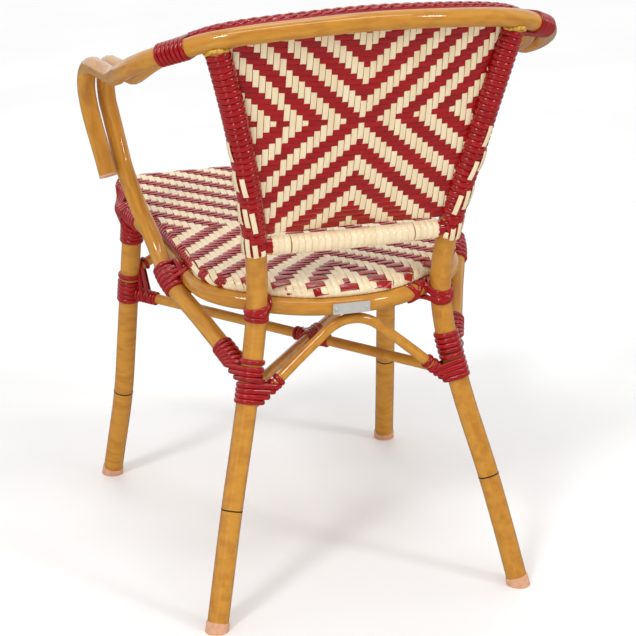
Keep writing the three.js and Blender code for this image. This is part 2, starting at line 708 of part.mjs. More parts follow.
for (let column = 0; column < backColumns; column++) {
  const foot = [backIndex(0, 0, column), backIndex(0, 0, column + 1)];
  quad(foot[0], backIndex(1, 0, column), backIndex(1, 0, column + 1), foot[1]);
  const top = [backIndex(0, backRows, column), backIndex(0, backRows, column + 1)];
  quad(top[0], top[1], backIndex(1, backRows, column + 1), backIndex(1, backRows, column));
}
for (let row = 0; row < backRows; row++) {
  quad(backIndex(0, row, 0), backIndex(0, row + 1, 0), backIndex(1, row + 1, 0), backIndex(1, row, 0));
  const far = [backIndex(0, row, backColumns), backIndex(1, row, backColumns)];
  quad(far[0], far[1], backIndex(1, row + 1, backColumns), backIndex(0, row + 1, backColumns));
}
const backPanel = new THREE.BufferGeometry().setFromPoints(backPoints);
backPanel.setIndex(backFaces);
const sleeveReach = postTop.x - 2 * backInset;
const sleeveBox = new THREE.BoxGeometry(2 * sleeveReach, high, crestHeight).translate(0, 0, crestHeight);
const sleeve = tube(hoopLine, 2 * (touch + backWrap)).intersect(solidOf(sleeveBox));
const backSolid = solidOf(backPanel).add(sleeve);
addPiece("woven_back", cut(backSolid, crestCutter, hoopCutter, ...rearLegCutters), cream);

// Foot caps: cups round the ends of the legs, cut flat by the floor.
const footNames = ["left_rear", "right_rear", "left_front", "right_front"];
const aboveFloor = slab(0, high);
const aboveCapFloor = slab(footCap.floor, high);
[...rearLegs, ...frontLegs].forEach((leg, i) => {
  const start = leg.getPoint(0);
  const way = wayAt(leg, start);
  const radius = footCap.diameter / 2;
  const cup = new THREE.CylinderGeometry(radius, radius, 2 * footCap.height, capSides);
  cup.applyQuaternion(new THREE.Quaternion().setFromUnitVectors(point(0, 1, 0), way));
  cup.translate(start.x, start.y, start.z);
  const solid = solidOf(cup).intersect(aboveFloor);
  addPiece(footNames[i] + "_foot_cap", cut(solid, allLegCutters[i].intersect(aboveCapFloor)), capPlastic);
});

// Caps on the ends of the arms.
sides.forEach((side, i) => {
  const end = crestHalf[crestHalf.length - 1];
  const way = wayAt(smooth(crestHalf), end);
  const radius = crestTube / 2;
  const rounded = [
    new THREE.Vector2(0, touch),
    new THREE.Vector2(radius, touch),
    new THREE.Vector2(radius, armCap.thickness - armCap.round),
    new THREE.Vector2(radius - armCap.round, armCap.thickness),
    new THREE.Vector2(0, armCap.thickness),
  ];
  const cap = new THREE.LatheGeometry(rounded, capSides);
  cap.applyQuaternion(new THREE.Quaternion().setFromUnitVectors(point(0, 1, 0), i ? mirrored(way) : way));
  const place = i ? mirrored(end) : end;
  addPiece(side + "_arm_cap", cut(solidOf(cap.translate(place.x, place.y, place.z)), hoopCutter), capPlastic);
});

// Bare name plate on the back of the ring, with its two rivets.
const ringBackRoute = smooth([...ringShares.map(onRing).reverse().map(mirrored), ...ringShares.map(onRing)]);
const platePlace = placeWhere(ringBackRoute, "x", plate.shift);
const plateWay = wayAt(ringBackRoute, platePlace);
const plateTurn = Math.atan2(plateWay.y, plateWay.x);
const [halfLong, halfHigh] = [plate.length / 2, plate.height / 2];
const plateShape = new THREE.Shape();
plateShape.moveTo(-halfLong + plate.corner, -halfHigh);
plateShape.lineTo(halfLong - plate.corner, -halfHigh);
plateShape.quadraticCurveTo(halfLong, -halfHigh, halfLong, -halfHigh + plate.corner);
plateShape.lineTo(halfLong, halfHigh - plate.corner);
plateShape.quadraticCurveTo(halfLong, halfHigh, halfLong - plate.corner, halfHigh);
plateShape.lineTo(-halfLong + plate.corner, halfHigh);
plateShape.quadraticCurveTo(-halfLong, halfHigh, -halfLong, halfHigh - plate.corner);
plateShape.lineTo(-halfLong, -halfHigh + plate.corner);
plateShape.quadraticCurveTo(-halfLong, -halfHigh, -halfLong + plate.corner, -halfHigh);
const plateFlat = new THREE.ExtrudeGeometry(plateShape, {
  depth: plate.thickness,
  bevelEnabled: false,
  curveSegments: cornerSteps,
});

// Stands a piece drawn in X and Y, with its front towards +Z, on the back of the ring.
function onRingBack(geometry, sideways, outwardBy) {
  geometry.rotateX(-Math.PI / 2);
  geometry.translate(sideways, outwardBy, 0);
  geometry.rotateZ(plateTurn);
  geometry.translate(platePlace.x, platePlace.y, platePlace.z);
  return geometry;
}
const rivetDomeShares = [
  [1, 0],
  [0.667, 0.8],
  [0, 1],
];
const plateOut = ringTube / 2 + touch;
const rivetPlaces = [-1, 1].map((side) => side * (halfLong - rivet.inset));
const rivetHoles = rivetPlaces.map((x) => {
  const radius = rivet.shank / 2 + touch;
  const hole = new THREE.CylinderGeometry(radius, radius, 4 * plate.thickness, rivetSides);
  return solidOf(onRingBack(hole.rotateX(Math.PI / 2), x, plateOut));
});
addPiece("name_plate", cut(solidOf(onRingBack(plateFlat, 0, plateOut)), ...rivetHoles), steel);
rivetPlaces.forEach((x, i) => {
  const face = plate.thickness + touch;
  const profile = [
    new THREE.Vector2(0, -rivet.depth),
    new THREE.Vector2(rivet.shank / 2, -rivet.depth),
    new THREE.Vector2(rivet.shank / 2, face),
    ...rivetDomeShares.map(([x, y]) => new THREE.Vector2((x * rivet.head) / 2, face + y * rivet.headHeight)),
  ];
  const body = onRingBack(new THREE.LatheGeometry(profile, rivetSides).rotateX(Math.PI / 2), x, plateOut);
  addPiece(["left", "right"][i] + "_plate_rivet", cut(solidOf(body), ringCutter), steel);
});

// The origin lies on the floor, in the middle of the chair's footprint.
const size = new THREE.Box3().setFromObject(chair);
chair.position.y = -(size.min.y + size.max.y) / 2;

export default chair;
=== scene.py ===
"""Rattan bistro armchair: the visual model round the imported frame.

Lengths are in millimetres up to the moment a mesh is made, in the CAD's own layout.
The sitter faces -Y. "left" is the sitter's left, on +X.
"""

import math

import bpy
import numpy as np
from mathutils import Matrix, Vector


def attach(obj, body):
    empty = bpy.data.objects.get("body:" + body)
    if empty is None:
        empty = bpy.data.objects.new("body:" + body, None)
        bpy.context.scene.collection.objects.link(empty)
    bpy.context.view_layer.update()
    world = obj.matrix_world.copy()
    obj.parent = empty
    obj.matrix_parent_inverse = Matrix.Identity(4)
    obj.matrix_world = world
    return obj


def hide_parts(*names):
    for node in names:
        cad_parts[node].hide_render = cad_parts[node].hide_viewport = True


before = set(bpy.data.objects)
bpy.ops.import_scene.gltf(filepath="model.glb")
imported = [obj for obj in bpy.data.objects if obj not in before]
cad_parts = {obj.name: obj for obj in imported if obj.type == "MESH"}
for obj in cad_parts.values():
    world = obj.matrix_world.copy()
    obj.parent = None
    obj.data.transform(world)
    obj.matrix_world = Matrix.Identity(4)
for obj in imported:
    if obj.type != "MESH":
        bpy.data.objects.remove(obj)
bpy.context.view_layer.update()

MM = 0.001
LAYOUT_SHIFT = -1.652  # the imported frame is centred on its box, so its Y differs by this

# Sizes of the frame, as in the CAD source.
CREST_TUBE = 25
HOOP_TUBE = 24
LEG_TUBE = 28
RING_TUBE = 24
RAIL_TUBE = 22
BRACE_TUBE = 14
FRAME_TUBE = 12
TOUCH = 0.3
ARM_REACH = 285
CREST_BACK = 277
CREST_HEIGHT = 790
HOOP_DROP = 0.5
REAR_FOOT = (212, 267)
FRONT_FOOT = (217, -270)
FRONT_KNEE = (204.5, -235, 140)
FRONT_KNEE_BEND = 40
FRONT_TOP = (191, -203)
RING_HALF_WIDTH = 201
RING_BACK = 187
RING_FORE = 235
RING_HEIGHT = 398
RING_RISE = 37
RAIL_HEIGHT = 490.5
RAIL_BOW = 8
HOOP_JOINT_HEIGHT = 310
REAR_ARCH_FOOT = 271
FRONT_ARCH_FOOT = 332
STRETCHER_FRONT = 302
STRETCHER_REAR = 288
HALF_STRETCHER_FOOT = 296

# Routes as shares of ARM_REACH, CREST_BACK and CREST_HEIGHT, from the middle of the crest to the arm's end.
CREST_SHARES = [
    (0, 1, 1), (0.291, 0.982, 0.996), (0.575, 0.913, 0.985), (0.709, 0.856, 0.975),
    (0.825, 0.78, 0.959), (0.916, 0.675, 0.941), (0.968, 0.549, 0.92), (0.986, 0.412, 0.899),
    (0.985, 0.271, 0.881), (0.987, 0.19, 0.877), (0.993, 0.032, 0.873), (0.997, -0.112, 0.867),
    (1, -0.195, 0.852), (1, -0.232, 0.826), (0.989, -0.253, 0.797), (0.968, -0.235, 0.754),
    (0.947, -0.191, 0.714), (0.93, -0.144, 0.676),
]
HOOP_FOLLOWS = 11
HOOP_SHARES = [
    (0.909, -0.17, 0.861), (0.905, -0.243, 0.837), (0.888, -0.292, 0.791), (0.874, -0.292, 0.767),
    (0.863, -0.278, 0.744), (0.849, -0.235, 0.708), (0.839, -0.194, 0.68), (0.811, -0.17, 0.643),
    (0.783, -0.117, 0.606), (0.754, -0.054, 0.575), (0.732, 0.022, 0.542),
]
HOOP_TIE_SHARE = 0.36
HOOP_TIE_RISE = -6
HOOP_TIE_CLEAR = 0.6
HOOP_RUN_SHARES = (0.4, 0.8)

# Half of the seat ring's outline: shares of RING_HALF_WIDTH and of its depth from the back.
RING_SHARES = [(0, 0), (0.05, 0), (0.2, 0.008), (0.338, 0.025), (0.478, 0.055)]
RING_SIDE_SHARES = [
    (0.742, 0.139), (0.813, 0.177), (0.868, 0.223), (0.892, 0.28), (0.903, 0.38), (0.93, 0.58),
    (0.965, 0.8), (0.995, 0.918), (0.985, 0.954), (0.93, 0.984), (0.84, 0.993), (0.42, 0.999), (0, 1),
]
RING_PAST_LEG = (-0.538, -0.843)
RING_PAST_LEG_HALF = 11

# A rear leg's axis: shares of REAR_FOOT and CREST_HEIGHT, from the floor.
REAR_LEG_SHARES = [
    (1, 1, 0), (0.92, 0.931, 0.101), (0.84, 0.858, 0.196), (0.726, 0.757, 0.316), (0.672, 0.71, 0.38),
    (0.632, 0.676, 0.43), (0.608, 0.661, 0.475), (0.599, 0.657, 0.506), (0.596, 0.66, 0.538),
    (0.603, 0.676, 0.576), (0.62, 0.702, 0.62), (0.667, 0.757, 0.696), (0.717, 0.803, 0.759),
    (0.781, 0.839, 0.835), (0.83, 0.858, 0.886), (0.882, 0.873, 0.937), (0.925, 0.884, 0.976),
]

# Half of an arch: shares of the run from its middle to the leg, and of the rise from leg to top.
ARCH_SHARES = [
    (0, 1), (0.09, 0.985), (0.2, 0.92), (0.338, 0.765), (0.5, 0.58), (0.7, 0.34), (0.89, 0.128), (1, 0),
]

SIDES = {"left": 1, "right": -1}
REAR, UP = np.array([0, 1, 0]), np.array([0, 0, 1])
ASKEW = (0.31, 0.52, 0.79)  # a direction that no axis of the chair has


def mirrored(points):
    return np.asarray(points, float) * (-1, 1, 1)


def sided(points, side):
    """Points or a direction of the left side, for either side."""
    return np.asarray(points, float) * (SIDES[side], 1, 1)


def unit(vector):
    return vector / np.linalg.norm(vector)


def facing(vector, towards):
    """A direction, or its reverse where that points more towards another one."""
    return vector if vector @ np.asarray(towards) > 0 else -vector


def smooth(points, fine=16):
    """A dense centripetal Catmull-Rom line through points, as the CAD's routes are."""
    points = np.asarray(points, float)
    before = 2 * points[0] - points[1]
    after = 2 * points[-1] - points[-2]
    held = np.vstack([before, points, after])
    step = np.sqrt(np.linalg.norm(np.diff(held, axis=0), axis=1))
    line = []
    for i in range(1, len(held) - 2):
        p0, p1, p2, p3 = held[i - 1 : i + 3]
        t0, t1, t2 = step[i - 1 : i + 2]
        m1 = ((p1 - p0) / t0 - (p2 - p0) / (t0 + t1) + (p2 - p1) / t1) * t1
        m2 = ((p2 - p1) / t1 - (p3 - p1) / (t1 + t2) + (p3 - p2) / t2) * t1
        for k in range(fine):
            t = k / fine
            line.append(
                (2 * t**3 - 3 * t**2 + 1) * p1 + (t**3 - 2 * t**2 + t) * m1
                + (3 * t**2 - 2 * t**3) * p2 + (t**3 - t**2) * m2
            )
    return np.array([*line, points[-1]])


def lengths(line):
    """Distance along a line to each of its points."""
    return np.concatenate([[0], np.cumsum(np.linalg.norm(np.diff(line, axis=0), axis=1))])


def along(line, distance):
    """Points of a line at given distances from its start."""
    run = lengths(line)
    return np.stack([np.interp(distance, run, line[:, k]) for k in range(3)], axis=-1)


def even(line, spacing):
    """The line again, in steps of equal length."""
    total = lengths(line)[-1]
    return along(line, np.linspace(0, total, max(2, round(total / spacing) + 1)))


def where(line, axis, value):
    """The last point of a line at which a coordinate takes a value."""
    a, b = line[:-1, axis], line[1:, axis]
    i = np.nonzero((a - value) * (b - value) <= 0)[0][-1]
    share = (value - a[i]) / ((b[i] - a[i]) or 1)
    return line[i] + (line[i + 1] - line[i]) * share


def way(line, place):
    """The direction of a line at its point nearest to a place."""
    i = int(np.argmin(np.linalg.norm(line - place, axis=1)))
    return unit(line[min(i + 1, len(line) - 1)] - line[max(i - 1, 0)])


def both_sides(half):
    """A line given from the middle outwards, made whole."""
    half = np.asarray(half, float)
    return np.vstack([mirrored(half)[::-1], half[1 if half[0][0] == 0 else 0 :]])


def seat_plane(y):
    """Height of the seat ring's axis at a depth."""
    return RING_HEIGHT + RING_RISE * (RING_BACK - y) / (RING_BACK + RING_FORE)


# The routes.
crest_half = np.array(CREST_SHARES) * (ARM_REACH, CREST_BACK, CREST_HEIGHT)
crest_route = smooth(both_sides(crest_half))

beside = (CREST_TUBE + HOOP_TUBE) / 2 + TOUCH
hoop_beside = []
for i in range(HOOP_FOLLOWS):
    ahead = crest_half[i + 1] - (crest_half[i - 1] if i else mirrored(crest_half[1]))
    inward = unit(np.array([ahead[1], -ahead[0], 0]))
    offset = inward * math.sqrt(beside**2 - HOOP_DROP**2)
    hoop_beside.append(crest_half[i] + offset - (0, 0, HOOP_DROP))
hoop_beside = np.array(hoop_beside)

rear_leg = smooth(np.array(REAR_LEG_SHARES) * (*REAR_FOOT, CREST_HEIGHT))
post_top = rear_leg[-1]

ring_depth = RING_BACK + RING_FORE


def on_ring(share):
    depth = RING_BACK - share[1] * ring_depth
    return (share[0] * RING_HALF_WIDTH, depth, seat_plane(depth))


leg_at_ring = where(rear_leg, 2, RING_HEIGHT)
off_x, off_y = RING_PAST_LEG
beside_leg = (LEG_TUBE + RING_TUBE) / 2 + TOUCH
ring_beside_leg = []
for run in (-RING_PAST_LEG_HALF, RING_PAST_LEG_HALF):
    x = leg_at_ring[0] + off_x * beside_leg - off_y * run
    y = leg_at_ring[1] + off_y * beside_leg + off_x * run
    ring_beside_leg.append((x, y, seat_plane(y)))
ring_half_points = [*map(on_ring, RING_SHARES), *ring_beside_leg, *map(on_ring, RING_SIDE_SHARES)]
ring_half = smooth(ring_half_points)
ring_route = smooth([*ring_half_points, *mirrored(ring_half_points[1:-1])[::-1], ring_half_points[0]])

foot = np.array([*FRONT_FOOT, 0])
knee = np.array(FRONT_KNEE)
front_top = np.array([*FRONT_TOP, seat_plane(FRONT_TOP[1])])
bend_in = knee + unit(foot - knee) * FRONT_KNEE_BEND
bend_out = knee + unit(front_top - knee) * FRONT_KNEE_BEND
bend = [
    (1 - t) ** 2 * bend_in + 2 * t * (1 - t) * knee + t**2 * bend_out for t in np.linspace(0, 1, 13)
]
front_leg = even(np.array([foot, *bend, front_top]), 2)

ring_at_tie = where(ring_half, 1, RING_BACK - HOOP_TIE_SHARE * ring_depth)
tie_span = (HOOP_TUBE + RING_TUBE) / 2 + HOOP_TIE_CLEAR
hoop_at_tie = ring_at_tie + (math.sqrt(tie_span**2 - HOOP_TIE_RISE**2), 0, HOOP_TIE_RISE)
hoop_end = where(rear_leg, 2, HOOP_JOINT_HEIGHT)
hoop_half = [
    *hoop_beside,
    *(np.array(HOOP_SHARES) * (ARM_REACH, CREST_BACK, CREST_HEIGHT)),
    hoop_at_tie,
    *[hoop_at_tie + (hoop_end - hoop_at_tie) * share for share in HOOP_RUN_SHARES],
    hoop_end,
]
hoop_route = smooth(both_sides(hoop_half))
hoop_side = smooth(hoop_half)

rail_end = where(rear_leg, 2, RAIL_HEIGHT)
rail_route = np.array(
    [(x, rail_end[1] + RAIL_BOW * (1 - (x / rail_end[0]) ** 2), RAIL_HEIGHT)
     for x in np.linspace(rail_end[0], -rail_end[0], 41)]
)


def arch_route(leg, foot_height, ring_axis):
    foot = where(leg, 2, foot_height)
    top_height = seat_plane(ring_axis) - (RING_TUBE + BRACE_TUBE) / 2 - TOUCH
    top = np.array([0, ring_axis, top_height])
    half = [(run * foot[0], *(foot + (top - foot) * rise)[1:]) for run, rise in ARCH_SHARES]
    return smooth(both_sides(half))


rear_arch = arch_route(rear_leg, REAR_ARCH_FOOT, RING_BACK)
front_arch = arch_route(front_leg, FRONT_ARCH_FOOT, -RING_FORE)
rear_legs = {"left": rear_leg, "right": mirrored(rear_leg)}
front_legs = {"left": front_leg, "right": mirrored(front_leg)}
through = np.array([
    where(front_legs["left"], 2, STRETCHER_FRONT), where(rear_legs["right"], 2, STRETCHER_REAR),
])
halves = np.array([
    where(front_legs["right"], 2, HALF_STRETCHER_FOOT), where(rear_legs["left"], 2, HALF_STRETCHER_FOOT),
])
halves_crossing = halves[0] + (halves[1] - halves[0]) * (-halves[0][0] / (halves[1][0] - halves[0][0]))


# Making of meshes.
def metres(points):
    return (np.asarray(points, float) + (0, LAYOUT_SHIFT, 0)) * MM


def deselect():
    for one in bpy.context.selected_objects:
        one.select_set(False)


def choose(obj):
    deselect()
    obj.select_set(True)
    bpy.context.view_layer.objects.active = obj


def rounded_by(obj, degrees):
    """Smooth shading that leaves edges sharper than an angle."""
    choose(obj)
    bpy.ops.object.shade_smooth_by_angle(angle=math.radians(degrees))


def finished(obj, material, slot, *nodes):
    """Gives a piece its material and its body, and hides the CAD nodes that it stands for."""
    obj.data.materials.clear()
    obj.data.materials.append(material)
    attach(obj, "root")
    if nodes:
        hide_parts(*nodes)
    return obj


def bent_tube(name, route, diameter, spacing=6):
    """A round tube along a route. Its UV map is in metres: round the tube and along it."""
    deselect()
    bpy.ops.curve.primitive_nurbs_path_add()
    obj = bpy.context.object
    obj.name = name
    curve = obj.data
    curve.splines.clear()
    points = even(route, spacing)
    spline = curve.splines.new("POLY")
    spline.points.add(len(points) - 1)
    for place, control in zip(metres(points), spline.points):
        control.co = (*place, 1)
    curve.bevel_depth = diameter / 2 * MM
    curve.bevel_resolution = 6
    curve.use_fill_caps = True
    bpy.ops.object.convert(target="MESH")
    obj = bpy.context.object
    layer = obj.data.uv_layers[0]
    values = np.zeros(2 * len(obj.data.loops))
    layer.data.foreach_get("uv", values)
    values = values.reshape(-1, 2) * (math.pi * diameter * MM, lengths(points)[-1] * MM)
    layer.data.foreach_set("uv", values.ravel())
    rounded_by(obj, 40)
    return obj


def each_unit(vectors):
    return vectors / np.linalg.norm(vectors, axis=1)[:, None]


def directions(line, closed=False):
    """A line's direction at each of its points."""
    if closed:
        return each_unit(np.roll(line, -1, axis=0) - np.roll(line, 1, axis=0))
    return each_unit(np.gradient(line, axis=0))


# Outlines of a strand as shares of its width and its thickness, seen along it with its face up.
WOVEN = [
    (-0.5, -0.25), (-0.4, -0.5), (0.4, -0.5), (0.5, -0.25),
    (0.5, 0.3), (0.45, 0.48), (-0.45, 0.48), (-0.5, 0.3),
]
WOUND = [
    (-0.5, -0.5), (0.5, -0.5), (0.5, -0.25), (0.42, 0.16),
    (0.2, 0.47), (-0.2, 0.47), (-0.42, 0.16), (-0.5, -0.25),
]
ROUND = [
    (0.5 * math.sin(a), 0.5 * math.cos(a))
    for a in np.linspace(math.pi, 3 * math.pi, 8, endpoint=False)[::-1]
]


class Strands:
    """Flat strands laid one by one into one mesh. No operator lays a strip along a line with its face
    turned the way it should look, so they are swept in mesh code. The UV map runs across a strand and
    along it, in metres, with every strand at a place of its own."""

    def __init__(self):
        self.points, self.faces, self.uvs = [], [], []
        self.count = 0

    def lay(self, centres, outs, width, thickness, outline=WOUND, closed=False):
        """Sweeps an outline of 8 points along a line, its face turned outwards. The open ends get caps."""
        centres = np.asarray(centres, float)
        ahead = directions(centres, closed)
        side = each_unit(np.cross(ahead, outs))
        out = np.cross(side, ahead)
        width = np.broadcast_to(np.asarray(width, float), (len(centres),))
        thickness = np.broadcast_to(np.asarray(thickness, float), (len(centres),))
        rings = [centres + side * (a * width)[:, None] + out * (b * thickness)[:, None] for a, b in outline]
        grid = np.stack(rings, axis=1)
        rows, sides = grid.shape[:2]
        runs = rows if closed else rows - 1
        i, k = (part.ravel() for part in np.meshgrid(np.arange(runs), np.arange(sides), indexing="ij"))
        j, m = (i + 1) % rows, (k + 1) % sides
        quads = [i * sides + k, i * sides + m, j * sides + m, j * sides + k]
        run = lengths(np.vstack([centres, centres[:1]])) * MM
        across = np.array(outline)[:, 0] * width.mean() * MM + 0.01 * len(self.points)
        corners = [(across[k], run[i]), (across[m], run[i]), (across[m], run[i + 1]), (across[k], run[i + 1])]
        self.points.append(grid.reshape(-1, 3))
        self.faces.append(self.count + np.stack(quads, axis=1))
        self.uvs.append(np.stack([np.stack(corner, axis=1) for corner in corners], axis=1))
        if not closed:
            last = (rows - 1) * sides
            caps = [(7, 2, 1, 0), (7, 6, 3, 2), (6, 5, 4, 3)]
            caps += [tuple(last + c for c in cap[::-1]) for cap in caps]
            self.faces.append(self.count + np.array(caps))
            self.uvs.append(np.zeros((len(caps), 4, 2)))
        self.count += rows * sides

    def made(self, name, degrees=50):
        mesh = bpy.data.meshes.new(name)
        faces = np.vstack(self.faces)
        mesh.from_pydata(metres(np.vstack(self.points)), [], faces)
        layer = mesh.uv_layers.new(name="UVMap")
        layer.data.foreach_set("uv", np.vstack(self.uvs).ravel())
        obj = bpy.data.objects.new(name, mesh)
        bpy.context.scene.collection.objects.link(obj)
        choose(obj)
        bpy.ops.object.mode_set(mode="EDIT")
        bpy.ops.mesh.select_all(action="SELECT")
        bpy.ops.mesh.normals_make_consistent(inside=False)
        bpy.ops.object.mode_set(mode="OBJECT")
        rounded_by(obj, degrees)
        return obj


def cut_outline(tube, place, axis):
    """Where a plane cuts a tube nearest to a place, as a ring of points, or None."""
    route, radius = tube
    side = (route - place) @ axis
    hits = np.nonzero(side[:-1] * side[1:] <= 0)[0]
    if not len(hits):
        return None
    share = (side[hits] / (side[hits] - side[hits + 1] + 1e-12))[:, None]
    spots = route[hits] + (route[hits + 1] - route[hits]) * share
    nearest = int(np.argmin(np.linalg.norm(spots - place, axis=1)))
    ahead = unit(route[hits[nearest] + 1] - route[hits[nearest]])
    slant = max(abs(ahead @ axis), 0.4)  # a tube that runs almost in the plane is cut no longer than this
    long_way = ahead - axis * (ahead @ axis)
    if np.linalg.norm(long_way) < 1e-6:  # the tube is square to the plane: any way in it will do
        long_way = np.cross(axis, (0.3, 0.5, 0.8))
    long_way = unit(long_way)
    short_way = np.cross(axis, long_way)
    angles = np.linspace(0, 2 * math.pi, 48, endpoint=False)[:, None]
    return spots[nearest] + radius * (np.cos(angles) * short_way + np.sin(angles) / slant * long_way)


def stretched_round(outlines, axis, steps=40):
    """The tight loop round several outlines in one plane, found as the convex hull of their points: even
    points on it, and its outward directions."""
    points = np.vstack(outlines)
    middle = points.mean(axis=0)
    e1 = unit(np.cross(axis, ASKEW))
    e2 = np.cross(axis, e1)
    flat = np.stack([(points - middle) @ e1, (points - middle) @ e2], axis=1)
    order = np.lexsort((flat[:, 1], flat[:, 0]))
    chains = []
    for sequence in (order, order[::-1]):
        chain = []
        for i in sequence:
            while len(chain) > 1:
                a, b = flat[chain[-1]] - flat[chain[-2]], flat[i] - flat[chain[-1]]
                if a[0] * b[1] - a[1] * b[0] > 0:
                    break
                chain.pop()
            chain.append(i)
        chains += chain[:-1]
    loop = points[[*chains, chains[0]]]
    loop = along(loop, np.linspace(0, lengths(loop)[-1], steps, endpoint=False))
    return loop, each_unit(np.cross(directions(loop, closed=True), axis))


JOINT_WIDTH, JOINT_THICKNESS = 7.1, 3.0


def tube(route, diameter, spacing=2):
    """What a strand is wound round: a line in even steps, and a radius."""
    return even(route, spacing), diameter / 2


def turn(
    strands, tubes, place, axis, rise=0.0, width=JOINT_WIDTH, thickness=JOINT_THICKNESS,
    outline=WOUND, steps=44,
):
    """One turn of strand round one tube or several together, square to an axis at a place."""
    axis = unit(np.asarray(axis, float))
    outlines = [o for o in (cut_outline(t, place, axis) for t in tubes) if o is not None]
    loop, outs = stretched_round(outlines, axis, steps)
    strands.lay(loop + outs * (thickness / 2 + rise), outs, width, thickness, outline, closed=True)


def bind(strands, tubes, start, end, turns, width, thickness, axes=None, outline=WOUND, steps=40):
    """Turns of strand from one place to another. They lie square to the way between the places, or to
    axes that turn from the first to the last."""
    first, last = axes or (end - start, end - start)
    for i in range(turns):
        share = (i + 0.5) / turns
        axis = unit(first) * (1 - share) + unit(last) * share
        turn(strands, tubes, start + (end - start) * share, axis, 0.0, width, thickness, outline, steps)


# Materials.
def colour(code):
    """An sRGB hex colour as Blender's linear one."""
    parts = [int(code[i : i + 2], 16) / 255 for i in (1, 3, 5)]
    return (*[p / 12.92 if p <= 0.04045 else ((p + 0.055) / 1.055) ** 2.4 for p in parts], 1)


def add(tree, kind, inputs=None, stops=(), **settings):
    """Adds a node with its settings. An input is a value, or the output that is linked to it. A colour
    ramp has stops, which are places and hex colours."""
    one = tree.nodes.new("ShaderNode" + kind)
    for name, value in settings.items():
        setattr(one, name, value)
    for name, value in (inputs or {}).items():
        if isinstance(value, bpy.types.NodeSocket):
            tree.links.new(value, one.inputs[name])
        else:
            one.inputs[name].default_value = value
    for _ in stops[2:]:
        one.color_ramp.elements.new(0.5)
    for n, (place, code) in enumerate(stops):
        one.color_ramp.elements[n].position = place
        one.color_ramp.elements[n].color = colour(code)
    return one


def new_material(name):
    material = bpy.data.materials.new(name)
    material.use_nodes = True
    tree = material.node_tree
    tree.nodes.clear()
    shader = add(tree, "BsdfPrincipled")
    output = add(tree, "OutputMaterial", {"Surface": shader.outputs["BSDF"]})
    output.location = (300, 0)
    return material, tree, shader


def pattern(tree, size_mm, detail, space="UV"):
    """Noise with spots of a size: across and along the piece on its UV map, or in its own space."""
    place = add(tree, "UVMap", uv_map="UVMap") if space == "UV" else add(tree, "TexCoord")
    scale = [1 / (side * MM) for side in (*size_mm, 1000)[:3]]
    spread = add(tree, "Mapping", {"Vector": place.outputs[space], "Scale": scale})
    noise = add(tree, "TexNoise", {"Vector": spread.outputs["Vector"], "Scale": 1.0, "Detail": detail})
    return noise.outputs["Fac"]


def dress(tree, shader, tone, relief, strength, depth_mm, values):
    """Gives a shader its colour, the relief of a pattern, and its constant values."""
    tree.links.new(tone.outputs["Color"], shader.inputs["Base Color"])
    if relief:
        inputs = {"Height": pattern(tree, *relief), "Strength": strength, "Distance": depth_mm * MM}
        tree.links.new(add(tree, "Bump", inputs).outputs["Normal"], shader.inputs["Normal"])
    for name, value in values.items():
        shader.inputs[name].default_value = value


def made_of(name, colours, stops, relief, strength, depth_mm, **values):
    """A material that takes its colours from one pattern and its relief from another."""
    material, tree, shader = new_material(name)
    tone = add(tree, "ValToRGB", {"Fac": pattern(tree, *colours)}, stops)
    dress(tree, shader, tone, relief, strength, depth_mm, values)
    return material


def bamboo_lacquer():
    """Powder-coated aluminium tube, hand-grained like bamboo under clear lacquer: honey colour that
    drifts along the tube, fine lengthwise streaks, brown flecks, and the lacquer's long highlights."""
    material, tree, shader = new_material("bamboo_grain_lacquer")
    drift = [(0.3, "#C2842A"), (0.5, "#CB8D2E"), (0.72, "#D29636")]
    streaks, flecks = [(0.36, "#B47B38"), (0.58, "#FFFFFF")], [(0.24, "#6E431A"), (0.3, "#FFFFFF")]
    tone = add(tree, "ValToRGB", {"Fac": pattern(tree, (60, 260), 1)}, drift)
    for size, stops, share in (((1.6, 160), streaks, 0.28), ((1.1, 8), flecks, 0.6)):
        marks = add(tree, "ValToRGB", {"Fac": pattern(tree, size, 2)}, stops)
        layers = {"Fac": share, "Color1": tone.outputs["Color"], "Color2": marks.outputs["Color"]}
        tone = add(tree, "MixRGB", layers, blend_type="MULTIPLY")
    gloss = {"Roughness": 0.5, "Specular IOR Level": 0.2, "Coat Weight": 1.0, "Coat Roughness": 0.08}
    dress(tree, shader, tone, ((1.6, 160), 2), 0.06, 0.1, gloss)
    return material


def strand_plastic(name, dark, light, roughness):
    """Extruded polyethylene strand, mass-coloured: a satin sheen with fine lengthwise lines of the die
    under a glossier skin, and a slightly different shade from strand to strand."""
    skin = {"Specular IOR Level": 0.5, "Coat Weight": 0.5, "Coat Roughness": 0.12}
    stops = [(0.35, dark), (0.65, light)]
    return made_of(name, ((14, 220), 1), stops, ((2.2, 160), 1), 0.05, 0.1, Roughness=roughness, **skin)


bamboo = bamboo_lacquer()
cream_strand = strand_plastic("cream_polyethylene_strand", "#EDD5AC", "#F5E1BC", 0.32)
red_strand = strand_plastic("red_polyethylene_strand", "#93060C", "#A60B12", 0.19)
# Moulded nylon: even pinkish tan, with the faint mottle and soft gloss of moulded plastic.
cap_plastic = made_of(
    "moulded_nylon_cap", ((6, 6, 6), 3, "Object"), [(0.3, "#D29A78"), (0.7, "#E0AC88")],
    ((0.8, 0.8, 0.8), 2, "Object"), 0.2, 0.1, Roughness=0.5,
)
# Thin aluminium plate, brushed along its length and anodised: the matt skin scatters most of the light, so
# it looks pale grey from all sides, with a metal sheen drawn out sideways.
BRUSHED = ((9, 9, 0.25), 3, "Object")
plate_metal = made_of(
    "brushed_aluminium_plate", BRUSHED, [(0.3, "#BDBBB6"), (0.7, "#D8D6D1")],
    BRUSHED, 0.2, 0.05, Metallic=0.25, Roughness=0.34,
)
